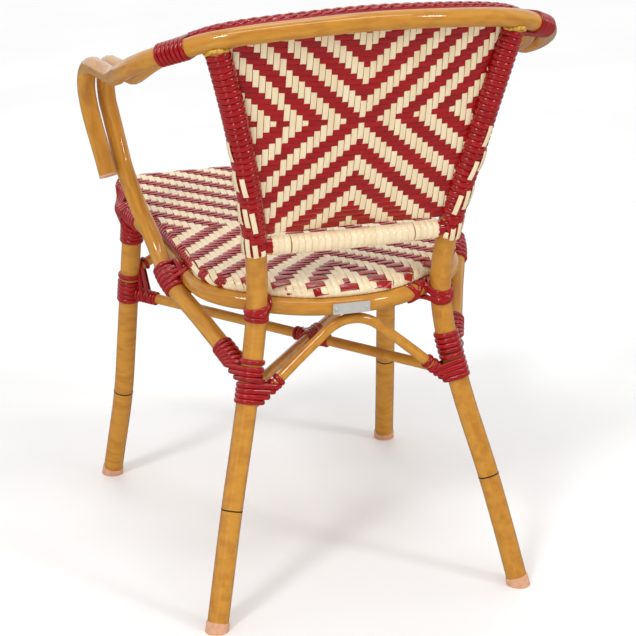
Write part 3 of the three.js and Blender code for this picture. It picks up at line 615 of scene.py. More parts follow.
# Bare extruded aluminium tube, as it left the mill: dull grey metal with long die lines.
DIE_LINES = ((0.6, 80), 3)
plain_aluminium = made_of(
    "mill_aluminium", DIE_LINES, [(0.3, "#9C9B98"), (0.7, "#BDBBB7")],
    DIE_LINES, 0.2, 0.05, Metallic=1.0, Roughness=0.45,
)
# The dark line painted round a tube as a bamboo joint: nearly black brown stain under the lacquer.
joint_stain = made_of(
    "dark_joint_stain", ((2, 6), 3), [(0.3, "#1E130A"), (0.7, "#3C2712")], None, 0, 0, Roughness=0.4
)
# A weld bead under brushed-on gold-brown paint: lumpy, with painted shade that darkens its hollows, drawn
# from the same pattern that raises its lumps.
LUMPS = ((2.5, 2.5, 2.5), 4, "Object")
weld_paint = made_of(
    "painted_weld_bead", LUMPS, [(0.3, "#8A5F1E"), (0.48, "#D39E38"), (0.7, "#E8B850")],
    LUMPS, 0.6, 0.8, Roughness=0.38,
)


# Frame tubes.
def tube_piece(name, route, diameter, *nodes):
    return finished(bent_tube(name, route, diameter), bamboo, "bamboo_finish", *nodes)


def between(route, low, high):
    """The stretch of a line whose points lie between two heights."""
    return route[(route[:, 2] >= low) & (route[:, 2] <= high)]


CAP_FLOOR = 4  # a leg's tube stands on the floor of its cap
CREST_SHOWN = CREST_TUBE - 0.9  # beside the inner hoop the photo shows the crest rail a little slimmer
for node, route, diameter in (
    ("crest_rail", crest_route, CREST_SHOWN),
    ("inner_hoop", hoop_route, HOOP_TUBE),
    ("seat_ring", ring_route, RING_TUBE),
    ("lower_back_rail", rail_route, RAIL_TUBE),
    ("rear_arch_brace", rear_arch, BRACE_TUBE),
    ("front_arch_brace", front_arch, BRACE_TUBE),
    ("through_stretcher", through, BRACE_TUBE),
    ("front_half_stretcher", np.array([halves[0], halves_crossing]), BRACE_TUBE),
    ("rear_half_stretcher", np.array([halves_crossing, halves[1]]), BRACE_TUBE),
):
    tube_piece(node.removesuffix("_brace") + "_tube", route, diameter, node)
for side in SIDES:
    for end, legs in (("rear", rear_legs), ("front", front_legs)):
        leg = between(legs[side], CAP_FLOOR, CREST_HEIGHT)
        tube_piece(f"{side}_{end}_leg_tube", leg, LEG_TUBE, f"{side}_{end}_leg")

# Painted joint rings on the legs.
REAR_RING_HEIGHT, FRONT_RING_HEIGHT, RING_WIDTH, RING_PAINT = 150, 143, 1.8, 0.3
for side in SIDES:
    for end, leg, height in (
        ("rear", rear_legs[side], REAR_RING_HEIGHT), ("front", front_legs[side], FRONT_RING_HEIGHT),
    ):
        place = where(leg, 2, height)
        rings = Strands()
        turn(rings, [(leg, LEG_TUBE / 2)], place, way(leg, place), 0.0, RING_WIDTH, RING_PAINT, steps=40)
        finished(rings.made(f"{side}_{end}_joint_ring"), joint_stain, "bamboo_finish")

# Woven back: cream warps that run up, red wefts that run across, one over three in a diamond.
WARP_PITCH, WARP_MIDDLE = 8.12, 6.0
SKIPPED = 13  # a column without a warp
WEFT_PITCH, WEFT_MIDDLE, WEFT_CURL = 7.45, 656.5, 3.5
STRAND_THICKNESS = 1.15
LIFT = 0.72  # of a strand off the middle surface
BACK_BOW = -9.5  # at its foot the back's middle lies in front of the posts
BACK_LEAN = 8  # at the top it lies behind the hoop's axis
BACK_INSET = 17.5  # the bow ends this far inwards of the posts
WARP_END, WEFT_END = 8, 3  # the strands end this far inwards of the posts' axes
ROWS, COLUMNS = range(-16, 21), [c for c in range(-25, 28) if c != SKIPPED]
back_foot = RAIL_HEIGHT + RAIL_TUBE / 2 + 1.5
top_bow = hoop_beside[0][1] + BACK_LEAN - post_top[1]


def cream_over(column, row):
    """Whether the cream warp lies over the red weft at a crossing."""
    return (5 - abs(column) + abs(row)) % 6 < 3


def back_height(row, x):
    return WEFT_MIDDLE - WEFT_PITCH * row + WEFT_CURL * (x / 130) ** 2


def post_at(z):
    return where(rear_leg, 2, min(z, post_top[2]))


def back_place(x, z):
    """A point of the back's middle surface."""
    post = post_at(z)
    u = x / (post[0] - BACK_INSET)
    share = (z - back_foot) / (CREST_HEIGHT - back_foot)
    bow = (BACK_BOW + (top_bow - BACK_BOW) * share) * (1 - min(u * u, 1.3))
    return np.array([x, post[1] + bow, z])


def warp_x(column):
    """A warp's place across. One warp was left out, and the next ones lie one pitch nearer."""
    return WARP_MIDDLE + WARP_PITCH * (column - (column > SKIPPED))


def lift(over, before, after, third):
    """How far a strand lies off the middle surface at thirds of a crossing."""
    side = 1 if over else -1
    if third == 0:
        return side * LIFT * (1.3 if before == over == after else 1.05)
    neighbour = before if third < 0 else after
    return side * LIFT * (1.15 if neighbour == over else 0.5)


def back_normal(x, z):
    ahead = back_place(x + 2, z) - back_place(x - 2, z)
    upwards = back_place(x, z + 2) - back_place(x, z - 2)
    return unit(np.cross(upwards, ahead))


def steps_of(crossings):
    return [(n, third) for n in crossings for third in (-1, 0, 1)]


def back_strand(strands, crossings, point_of, over_at, inset, width):
    """Lays a strand over and under the others, as far as it lies between the posts."""
    centres, outs = [], []
    for n, third in steps_of(crossings):
        x, z = point_of(n, third)
        if abs(x) <= post_at(z)[0] - inset:
            over = [over_at(n + k) for k in (0, -1, 1)]
            outs.append(back_normal(x, z))
            centres.append(back_place(x, z) + outs[-1] * lift(*over, third))
    if len(centres) > 4:
        strands.lay(centres, outs, width, STRAND_THICKNESS, WOVEN)


def point_of_warp(column, row, third):
    x = warp_x(column)
    return x, back_height(row + third / 3, x)


def point_of_weft(column, row, third):
    x = warp_x(column) + WARP_PITCH * third / 3
    return x, back_height(row, x)


warps, wefts = Strands(), Strands()
for c in COLUMNS[1:-1]:
    back_strand(
        warps, ROWS, lambda r, third: point_of_warp(c, r, third), lambda r: cream_over(c, r),
        WARP_END, WARP_PITCH - 0.7,
    )
for r in ROWS:
    back_strand(
        wefts, COLUMNS, lambda c, third: point_of_weft(c, r, third), lambda c: not cream_over(c, r),
        WEFT_END, WEFT_PITCH + 0.05,
    )

# The weave goes on round the inner hoop as a sleeve.
SLEEVE_REACH = 214  # to both sides of the middle
SLEEVE_ROWS = 11
SLEEVE_RADIUS, PRESSED_RADIUS = HOOP_TUBE / 2 + 1.0, HOOP_TUBE / 2 + 0.3
PLAIT_ANGLE = 1.6  # of the plait's middle round the hoop, in radians from the rear upwards
hoop_top = hoop_route[hoop_route[:, 2] > 700]


def round_hoop(ahead, angle):
    """The direction at an angle round the hoop, from the rear upwards."""
    rear = facing(unit(np.cross(ahead, UP)), REAR)
    upper = facing(np.cross(rear, unit(ahead)), UP)
    return rear * math.cos(angle) + upper * math.sin(angle)


def sleeve_radius(angle, rise):
    """How far a strand's middle lies from the hoop's axis: it is pressed flat under the plait on top."""
    pressed = max(0.0, math.cos(1.4 * (angle - PLAIT_ANGLE)))
    return SLEEVE_RADIUS * (1 - pressed) + PRESSED_RADIUS * pressed + rise * (1 - 0.9 * pressed)


def sleeve_cream_over(column, row):
    """On the sleeve the rows beside the plait are red all along."""
    return row % SLEEVE_ROWS not in (1, 2, 3, 4) and cream_over(column, row)


for column in range(-26, 26):
    middle = where(hoop_top, 0, WARP_MIDDLE + WARP_PITCH * column)
    ahead = way(hoop_top, middle)
    centres, outs = [], []
    for row, third in steps_of(range(SLEEVE_ROWS)):
        over = [sleeve_cream_over(column, row + k) for k in (0, -1, 1)]
        angle = 2 * math.pi * (row + third / 3) / SLEEVE_ROWS
        out = round_hoop(ahead, angle)
        centres.append(middle + out * sleeve_radius(angle, lift(*over, third)))
        outs.append(out)
    warps.lay(centres, outs, WARP_PITCH - 0.7, STRAND_THICKNESS, WOVEN, closed=True)
sleeve_line = even(hoop_top[abs(hoop_top[:, 0]) < SLEEVE_REACH], WARP_PITCH / 3)
sleeve_ahead = np.gradient(sleeve_line, axis=0)
for row in range(SLEEVE_ROWS):
    centres, outs = [], []
    for spot, ahead in zip(sleeve_line, sleeve_ahead):
        place = (spot[0] - WARP_MIDDLE) / WARP_PITCH
        column = round(place)
        over = [not sleeve_cream_over(column + k, row) for k in (0, -1, 1)]
        angle = 2 * math.pi * row / SLEEVE_ROWS
        out = round_hoop(ahead, angle)
        centres.append(spot + out * sleeve_radius(angle, lift(*over, round(3 * (place - column)))))
        outs.append(out)
    wefts.lay(centres, outs, 2 * math.pi * SLEEVE_RADIUS / SLEEVE_ROWS, STRAND_THICKNESS, WOVEN)
finished(warps.made("back_cream_warps"), cream_strand, "cream_strand", "woven_back")
finished(wefts.made("back_red_wefts"), red_strand, "red_strand")

# A plait of three red strands closes the weave along the top of the sleeve.
PLAIT_TURN = 44.0  # the length in which a strand goes across and back
PLAIT_SWAY = 0.42  # in radians to both sides
PLAIT_STRAND = (5.6, 1.8)
plait = Strands()
plait_line = even(sleeve_line, 1.6)
plait_ahead = np.gradient(plait_line, axis=0)
for strand in range(3):
    phases = 2 * math.pi * (lengths(plait_line) / PLAIT_TURN + strand / 3)
    outs = [round_hoop(a, PLAIT_ANGLE + PLAIT_SWAY * math.sin(p)) for a, p in zip(plait_ahead, phases)]
    rises = HOOP_TUBE / 2 + 1.9 + 0.7 * np.sin(2 * phases + 0.6)
    plait.lay(plait_line + np.array(outs) * rises[:, None], outs, *PLAIT_STRAND)
finished(plait.made("back_edge_plait"), red_strand, "red_strand")


# Woven seat: cream warps from the front to the rear and red wefts across, wound at the rim round the frame.
SEAT_TOP = 29.3  # over the ring's axis
SEAT_ROLL, SEAT_EDGE_DROP = 8.5, 17  # the rim's upper radius and whole height
SEAT_REAR_SLOPE, SEAT_REAR_DROP = 40, 11  # at the rear the seat slopes down to its widest place
SEAT_LIFT = 1.0
SEAT_THICKNESS = 1.2
SEAT_WARP_PITCH, SEAT_WARP_MIDDLE = 8.45, 5.0
SEAT_OVERHANG = 4  # past the ring's axis
SEAT_FRONT_HALF_WIDTH, SEAT_NOSE, SEAT_CORNER = 207, 19, 22
RIM_STEPS = 24  # from the flat seat to the widest place
PAST_RIM = 9.0  # stands for places beyond the rim's lower end
WEAVE_END, SIDE_WEAVE_END = 0.98, 0.35  # where the weave ends on the way to the widest place
ALONE_LIFT = 0.6  # of a strand that lies on the rim without others
FRONT_FROM, REAR_FROM, SIDE_FROM = -0.6, 0.17, 0.72  # the rim's direction where a side begins


def pushed(line, distance):
    """A flat line moved aside, outwards for one that runs from the back over +X to the front."""
    ahead = directions(line)
    return line + distance * np.stack([-ahead[:, 1], ahead[:, 0]], axis=1)


seat_front = -(RING_FORE + SEAT_NOSE)
side_line = pushed(ring_half[ring_half[:, 1] > -RING_FORE / 2][:, :2], SEAT_OVERHANG)
corner = [
    (SEAT_FRONT_HALF_WIDTH - SEAT_CORNER * (1 - math.cos(a)), seat_front + SEAT_CORNER * (1 - math.sin(a)))
    for a in np.linspace(0, math.pi / 2, 9)
]
half_edge = np.vstack([side_line, corner, [(0, seat_front)]])
half_edge = np.column_stack([half_edge, np.zeros(len(half_edge))])
whole_edge = np.vstack([half_edge, mirrored(half_edge)[::-1][1:-1]])
whole_edge = even(np.vstack([whole_edge, whole_edge[:1]]), 2)[:-1, :2]
edge_ahead = np.roll(whole_edge, -2, axis=0) - np.roll(whole_edge, 2, axis=0)
edge_out = each_unit(np.stack([-edge_ahead[:, 1], edge_ahead[:, 0]], axis=1))


def rim_profile(rear):
    """The rim's cross-section where it faces rearwards by a share: it slopes from the flat seat to its
    widest place and rolls in under it. Distances along it, places inwards of the edge, and drops."""
    slope = SEAT_ROLL + (SEAT_REAR_SLOPE - SEAT_ROLL) * rear
    drop = SEAT_ROLL + (SEAT_REAR_DROP - SEAT_ROLL) * rear
    under = SEAT_EDGE_DROP - drop
    t, k = np.linspace(0, math.pi / 2, RIM_STEPS), np.linspace(0.1, 2, 12)
    inwards = np.concatenate([slope * (1 - np.sin(t)), under * (1 - np.cos(k))])
    drops = np.concatenate([drop * (1 - np.cos(t)), drop + under * np.sin(k)])
    run = np.concatenate([[0], np.cumsum(np.hypot(np.diff(inwards), np.diff(drops)))])
    slants = np.concatenate([np.arctan2(drop * np.sin(t), slope * np.cos(t)), math.pi / 2 + k])
    return slope, run, inwards, drops, slants


PROFILES = [rim_profile(n / 40) for n in range(41)]


def seat_place(spot):
    """A point of the flat seat on the rolled seat, the direction out of it, how far round the rim it
    lies (1 at its widest), and the way the rim faces there."""
    spot = np.array(spot)
    i = int(np.argmin(np.linalg.norm(whole_edge - spot, axis=1)))
    out = edge_out[i]
    slope, run, inwards, drops, slants = PROFILES[round(40 * max(0.0, out[1]) ** 3)]
    past = slope - float((whole_edge[i] - spot) @ out)
    if past <= 0:
        return np.array([*spot, seat_plane(spot[1]) + SEAT_TOP]), np.array([0.0, 0.0, 1.0]), 0.0, out
    flat = spot + out * (slope - past - np.interp(past, run, inwards))
    slant = np.interp(past, run, slants)
    place = np.array([*flat, seat_plane(flat[1]) + SEAT_TOP - np.interp(past, run, drops)])
    share = past / run[RIM_STEPS - 1] if past < run[-1] else PAST_RIM
    return place, np.array([*(out * math.sin(slant)), math.cos(slant)]), share, out


def seat_strand(strands, line, width, mine, theirs):
    """Lays a strand along a line of flat points, each with its lift off the middle surface. Where the
    weave has ended, a strand goes on round the rim only at the sides where its own kind does."""
    centres, outs, sizes = [], [], []
    for spot, off in line:
        place, face, share, out = seat_place(spot)
        past_weave = share > (WEAVE_END if at_rear_or_front(out) else SIDE_WEAVE_END)
        if share == PAST_RIM or (past_weave and not mine(out)):
            continue
        alone = past_weave and not theirs(out)
        centres.append(place + face * (ALONE_LIFT if alone else off))
        outs.append(face)
        sizes.append(width + (0.3 if alone else 0))
    if len(centres) > 5:
        strands.lay(centres, outs, sizes, SEAT_THICKNESS, WOVEN)


# Depth of each row of wefts. The last rows before the rear rim lie wider apart.
SEAT_ROWS = [-40, 14, 24.5, 25.5, 26.5, 27.5, 28.5, 29.5, 31.5, 44]
SEAT_DEPTHS = [-334, 62.9, 132.2, 142, 154.3, 167.9, 182, 192.7, 208, 304]


def seat_depth(row):
    return float(np.interp(row, SEAT_ROWS, SEAT_DEPTHS))


def seat_column(column):
    return SEAT_WARP_MIDDLE + SEAT_WARP_PITCH * column


def seat_cream_over(column, row):
    """As on the back, but the cream warps lie over the last rows at the rear."""
    return row > 29 or cream_over(column, row)


def seat_line(fixed, crossings, place_of, over_at):
    """A strand's flat points, at thirds of its crossings."""
    line = []
    for n, third in steps_of(crossings):
        over = [over_at(n + k) for k in (0, -1, 1)]
        line.append((fixed(place_of(n + third / 3)), SEAT_LIFT / LIFT * lift(*over, third)))
    return line


def at_rear_or_front(out):
    return out[1] > REAR_FROM or out[1] < FRONT_FROM


def at_side(out):
    return abs(out[0]) > SIDE_FROM


seat_warps, seat_wefts = Strands(), Strands()
for c in range(-25, 25):
    x = seat_column(c)
    line = seat_line(lambda y: (x, y), range(-36, 40), seat_depth, lambda r: seat_cream_over(c, r))
    seat_strand(seat_warps, line, SEAT_WARP_PITCH - 0.3, at_rear_or_front, at_side)
for r in range(-29, 30):
    y = seat_depth(r)
    line = seat_line(lambda x: (x, y), range(-30, 30), seat_column, lambda c: not seat_cream_over(c, r))
    width = min(seat_depth(r + 0.5) - seat_depth(r - 0.5), 11)
    seat_strand(seat_wefts, line, width, at_side, at_rear_or_front)
finished(seat_warps.made("seat_cream_warps"), cream_strand, "cream_strand", "woven_seat")
finished(seat_wefts.made("seat_red_wefts"), red_strand, "red_strand")
inner_edge = whole_edge - edge_out * SEAT_ROLL
frame_drop = 9 + 3 * np.clip(edge_out[:, 1], 0, 1) ** 3
frame_line = np.column_stack([inner_edge, seat_plane(inner_edge[:, 1]) + SEAT_TOP - frame_drop])
frame_line = np.vstack([frame_line, frame_line[:1]])
finished(bent_tube("seat_frame_tube", frame_line, FRAME_TUBE), plain_aluminium, "plain_tube", "seat_frame")


# Wound strands.
def red_piece(strands, name, *nodes):
    return finished(strands.made(name), red_strand, "red_strand", *nodes)


def leg_face(leg, height, side):
    """A leg's axis at a height, with its own upward, rearward and outward directions."""
    spot = where(leg, 2, height)
    axis = facing(way(leg, spot), UP)
    rear = unit(REAR - axis * axis[1])
    return spot, axis, rear, facing(np.cross(axis, rear), (SIDES[side], 0, 0))


def round_leg(leg, side, path, reach):
    """Points round a leg, given as angles in degrees from the rear outwards and heights."""
    centres, outs = [], []
    for angle, height in path:
        spot, axis, rear, outer = leg_face(leg, height, side)
        out = rear * math.cos(math.radians(angle)) + outer * math.sin(math.radians(angle))
        centres.append(spot + out * reach)
        outs.append(out)
    return centres, outs


def lane(strands, leg, side, height, start, end, width, thickness, reach):
    """Part of a turn round a leg, between two angles."""
    path = [(a, height) for a in np.linspace(start, end, max(4, abs(round((end - start) / 11))))]
    strands.lay(*round_leg(leg, side, path, reach), width, thickness)


def leg_turn(strands, tubes, height, lean=(0, 0, 0), rise=0.0):
    """A turn round a leg and what lies beside it, square to the leg or leaning. The leg is the first tube."""
    spot = where(tubes[0][0], 2, height)
    turn(strands, tubes, spot, facing(way(tubes[0][0], spot), UP) + lean, rise)


# Post windings: turns in two lanes that meet in a seam, each lane half a turn off the other.
POST_LOW, POST_HIGH, POST_PITCH = 505, 757, 7.9
POST_SEAM = {"left": -40, "right": -85}
POST_LANES = ((0, 240), (0.5, -130))  # a share of the pitch, and how far the lane goes round from the seam
POST_STRAND = 2.3
# Close thin turns below the winding, and the strands that run from the post on to the rail, under its
# first turns: a height, the angle where one begins, its place above the rail's middle, and its width.
FOOT_TURNS, FOOT_STRAND = (486, 492.5, 499), (6.4, 1.6)
RAIL_RUNS = ((505, 40, 7.7, 8.6), (494, 20, -1.5, 10.4))
RUN_PLACES, RUN_THICKNESS = (124, 120, 116, 112.2), 1.4
# Cream strands that dip in and out of the post's lower turns: an angle and a height where each float
# begins, and where it ends. Every post has its own, as woven by hand.
POST_FLOATS = {
    "left": [
        (78, 645, 70, 619), (74, 606, 70, 578), (37, 597, 30, 572), (82, 560, 76, 530), (46, 554, 39, 528),
        (16, 548, 8, 519), (98, 600, 94, 575), (104, 545, 100, 519), (112, 510, 112, 483), (82, 510, 82, 483),
        (52, 510, 49, 483), (19, 502, 15, 483), (-18, 491, -18, 483),
    ],
    "right": [
        (25, 638, 18, 611), (44, 604, 38, 578), (11, 591, 2, 566), (20, 550, 22, 524), (-10, 543, -18, 516),
        (52, 556, 50, 530), (74, 604, 70, 578), (84, 550, 80, 524), (-30, 489, -28, 481), (-3, 497, 2, 479),
        (28, 506, 34, 479), (60, 510, 64, 479), (92, 510, 94, 479),
    ],
}
FLOAT_DIP = np.array([0.0, 0.5, 0.85, 1, 1, 1, 0.85, 0.5, 0.0])[:, None]
FLOAT_STRAND = (6.4, 1.2)
for side, sign in SIDES.items():
    leg = even(rear_legs[side], 1)
    seam = POST_SEAM[side]
    red_turns = Strands()
    for n in range(round((POST_HIGH - POST_LOW) / POST_PITCH)):
        for shift, sweep in POST_LANES:
            height = POST_LOW + POST_PITCH * (n + 0.5 + shift)
            reach = (LEG_TUBE + POST_STRAND) / 2
            lane(red_turns, leg, side, height, seam, seam + sweep, POST_PITCH + 0.3, POST_STRAND, reach)
    for height in FOOT_TURNS:
        lane(red_turns, leg, side, height, -180, 180, *FOOT_STRAND, (LEG_TUBE + FOOT_STRAND[1]) / 2)
    for height, first, rise, width in RAIL_RUNS:
        path = [(a, height) for a in np.linspace(first, -30, 8)]
        centres, outs = round_leg(leg, side, path, LEG_TUBE / 2 + POST_STRAND + 0.3)
        ray = math.asin(rise / (RAIL_TUBE / 2 + 1))
        for x in RUN_PLACES:
            outs.append(np.array([0, math.cos(ray), math.sin(ray)]))
            centres.append(where(rail_route, 0, sign * x) + outs[-1] * (RAIL_TUBE / 2 + 0.9))
        line = smooth(centres, 4)
        red_turns.lay(line, np.repeat(outs, 4, axis=0)[: len(line)], width, RUN_THICKNESS)
    red_piece(red_turns, side + "_post_strands", side + "_post_winding")
    floats = Strands()
    for a0, z0, a1, z1 in POST_FLOATS[side]:
        path = [(a0 + (a1 - a0) * s, z0 + (z1 - z0) * s) for s in np.linspace(0, 1, 9)]
        centres, outs = round_leg(leg, side, path, LEG_TUBE / 2 + POST_STRAND)
        floats.lay(np.array(centres) + np.array(outs) * FLOAT_DIP, outs, *FLOAT_STRAND, WOVEN)
    finished(floats.made(side + "_post_cream_floats"), cream_strand, "cream_strand")

# Rail: cream turns that lie close, in three groups with thin gaps between, from the left to the right.
RAIL_GROUPS = ((112, 88, 3), (87.5, -77.6, 19), (-78.1, -112.5, 4))
RAIL_STRAND = 1.6
rails = tube(rail_route, RAIL_TUBE, 1)
rail_turns = Strands()
for first, last, count in RAIL_GROUPS:
    start, end = where(rails[0], 0, first), where(rails[0], 0, last)
    width = abs(first - last) / count - 0.15
    bind(rail_turns, [rails], start, end, count, width, RAIL_STRAND, outline=WOVEN)
finished(rail_turns.made("rail_strands"), cream_strand, "cream_strand", "rail_winding")

# Arm wraps hold crest rail and hoop together.
ARM_WRAP_FROM, ARM_WRAP_TO, ARM_TURNS, ARM_STRAND = 226, 253, 7, 2.6
crests, hoops = (crest_route, CREST_TUBE / 2), (hoop_route, HOOP_TUBE / 2)
crest_top = crest_route[crest_route[:, 2] > 740]
for side, sign in SIDES.items():
    turns = Strands()
    start, end = where(crest_top, 0, sign * ARM_WRAP_FROM), where(crest_top, 0, sign * ARM_WRAP_TO)
    axes = (way(crest_top, start) * sign, way(crest_top, end) * sign)
    width = np.linalg.norm(end - start) / ARM_TURNS + 0.1
    bind(turns, [crests, hoops], start, end, ARM_TURNS, width, ARM_STRAND, axes, steps=48)
    red_piece(turns, side + "_arm_strands", side + "_arm_wrap")

# Ties of hoop and seat ring at the sides: turns round the hoop alone, then turns round hoop and ring, and
# between the two tubes a loop that draws the turns together. Each reaches so far along its own axis.
HOOP_TURNS, BOTH_TURNS, DRAWN = (-21, 21), (-9, 15), (-8, 14)
HOOP_STRAND, BOTH_STRAND, DRAWN_STRAND = (7.2, 3.4), (7.2, 2.6), (8.0, 3.2)
DRAWN_NEARER = 5  # the loop lies nearer to the ring than to the hoop
hoop_way = way(hoop_side, hoop_at_tie)
tie_axis = unit(hoop_way - way(ring_half, ring_at_tie))
tie_middle = (ring_at_tie + hoop_at_tie) / 2
neck = unit(ring_at_tie - hoop_at_tie)
down = unit(hoop_way - neck * (hoop_way @ neck))
angles = np.linspace(0, 2 * math.pi, 24, endpoint=False)[:, None]
rim = (np.cos(angles) * down + np.sin(angles) * np.cross(neck, down)) * (HOOP_TUBE / 2 + 2.6)
for side in SIDES:
    turns = Strands()
    start, end = (sided(hoop_at_tie + hoop_way * shift, side) for shift in HOOP_TURNS)
    bind(turns, [hoops], start, end, 6, *HOOP_STRAND)
    start, end = (sided(tie_middle + tie_axis * shift, side) for shift in BOTH_TURNS)
    bind(turns, [(ring_route, RING_TUBE / 2), hoops], start, end, 3, *BOTH_STRAND, steps=48)
    ends = [sided(tie_middle + neck * DRAWN_NEARER + down * shift + rim, side) for shift in DRAWN]
    loop, outs = stretched_round(ends, sided(neck, side), 48)
    turns.lay(loop + outs * 1.5, outs, *DRAWN_STRAND, closed=True)
    red_piece(turns, side + "_seat_side_strands", side + "_seat_side_wrap")

# Bindings at the joints, each a fan of turns round the tubes that meet there.
through_line, halves_line = tube(through, BRACE_TUBE), tube(halves, BRACE_TUBE)
rear_arches, front_arches = tube(rear_arch, BRACE_TUBE), tube(front_arch, BRACE_TUBE)

# Rear joints. The hoop's turns begin at a share of its straight run. Below them lie turns round the leg
# and from HOOP_MEETS down round hoop and leg, and then turns round leg and arch, which lean as each side
# was bound.
HOOP_FAN, HOOP_FAN_STEP, FAN_TURN = 0.672, 0.031, 0.17
HOOP_MEETS = 325
REAR_HEIGHTS = {"left": (333, 324, 317.5, 311), "right": (340, 333, 326, 319, 312)}
REAR_LEAN = {"left": 0.12, "right": -0.1}
REAR_ARCH_HEIGHTS, REAR_ARCH_PLACES = (304, 297.3, 290.6, 284), (103, 110.5)
# Turns that lash the ring to the rear leg. On the leg they have a middle height and a rise towards the
# outer side. Those that cross the ring pass places on it, from the middle, with angles from the rear
# upwards, and go on round the leg past angles from the rear outwards, with heights.
LEG_LASHINGS = {"left": [(403, -3), (396.5, 2.5), (389.5, 1)], "right": []}
RING_LASHINGS = {
    "left": [
        ([(113, 120), (113, 60), (114, 0), (115, -70)], []),
        ([(107, 120), (107, 60), (107, 0), (108, -70)], []),
    ],
    "right": [
        (
            [(86, 100), (94, 72), (103, 50)],
            [(-80, 403), (-40, 400.5), (0, 399), (40, 399), (80, 400.5), (120, 402), (160, 403)],
        ), (
            [(90, 90), (98, 50), (106, 22)],
            [(-72, 398), (-36, 395), (0, 393.5), (40, 394.5), (80, 397), (120, 400), (160, 402)],
        ), (
            [(79, 85), (84, 45), (90, 5), (96, -35), (101, -58)],
            [(-62, 391), (-25, 389.5), (15, 391.5), (55, 396.5), (90, 402.5), (125, 406), (160, 407)],
        ), (
            [(84, -80), (88, -40), (95, 5), (103, 45), (110, 85)],
            [(-105, 407), (-140, 408), (-170, 408)],
        ), (
            [(90, -52), (97, -44), (105, -38)],
            [(-50, 387.5), (-20, 386.5), (20, 387.5), (60, 391), (95, 395), (130, 397), (160, 398)],
        ),
    ],
}
LEG_LASHING, RING_LASHING, LASHING_RISE = (7.0, 2.8), (7.4, 2.6), 0.8
RING_UNDER_LEG = ring_half[ring_half[:, 1] > 100]
for side, sign in SIDES.items():
    legs = tube(rear_legs[side], LEG_TUBE, 1)
    leg = legs[0]
    hoop_low = tube(hoop_route[(hoop_route[:, 2] < 450) & (hoop_route[:, 0] * sign > 0)], HOOP_TUBE)
    start, end = sided(hoop_at_tie, side), sided(hoop_end, side)
    run = unit(end - start)
    upright = leg_face(leg, 320, side)[1]
    strands = Strands()
    for n in range(6):
        place = start + (end - start) * (HOOP_FAN + HOOP_FAN_STEP * n)
        axis = -run * (1 - FAN_TURN * n) + upright * FAN_TURN * n
        turn(strands, [hoop_low], place, axis, 0.15 * (n % 2))
    for height in REAR_HEIGHTS[side]:
        leg_turn(strands, [legs] if height > HOOP_MEETS else [legs, hoop_low], height, rise=0.2)
    arch_way = facing(sided(way(rear_arch, where(rear_arch, 0, 110)), side), UP)
    for n, height in enumerate(REAR_ARCH_HEIGHTS):
        leg_turn(strands, [legs, rear_arches], height, arch_way * REAR_LEAN[side] * (n / 4 - 1), 0.3)
    for x in REAR_ARCH_PLACES:
        spot = where(rear_arch, 0, sign * x)
        turn(strands, [rear_arches], spot, way(rear_arch, spot))
    for height, tilt in LEG_LASHINGS[side]:
        path = [(a, height + tilt * math.sin(math.radians(a))) for a in range(-110, 175, 10)]
        strands.lay(*round_leg(leg, side, path, LEG_TUBE / 2 + 1.5), *LEG_LASHING)
    for n, (on_ring_at, on_leg_at) in enumerate(RING_LASHINGS[side]):
        centres, outs = [], []
        for x, angle in on_ring_at:
            outs.append((0, math.cos(math.radians(angle)), math.sin(math.radians(angle))))
            spot = sided(where(RING_UNDER_LEG, 0, x), side)
            centres.append(spot + np.array(outs[-1]) * (RING_TUBE / 2 + 1.4 + LASHING_RISE * (n % 2)))
        on_leg = round_leg(leg, side, on_leg_at, LEG_TUBE / 2 + 1.5 + LASHING_RISE * (n == 2))
        strands.lay(smooth(centres + on_leg[0], 6), smooth(outs + on_leg[1], 6), *RING_LASHING)
    red_piece(strands, side + "_rear_joint_strands", side + "_rear_joint_wrap")

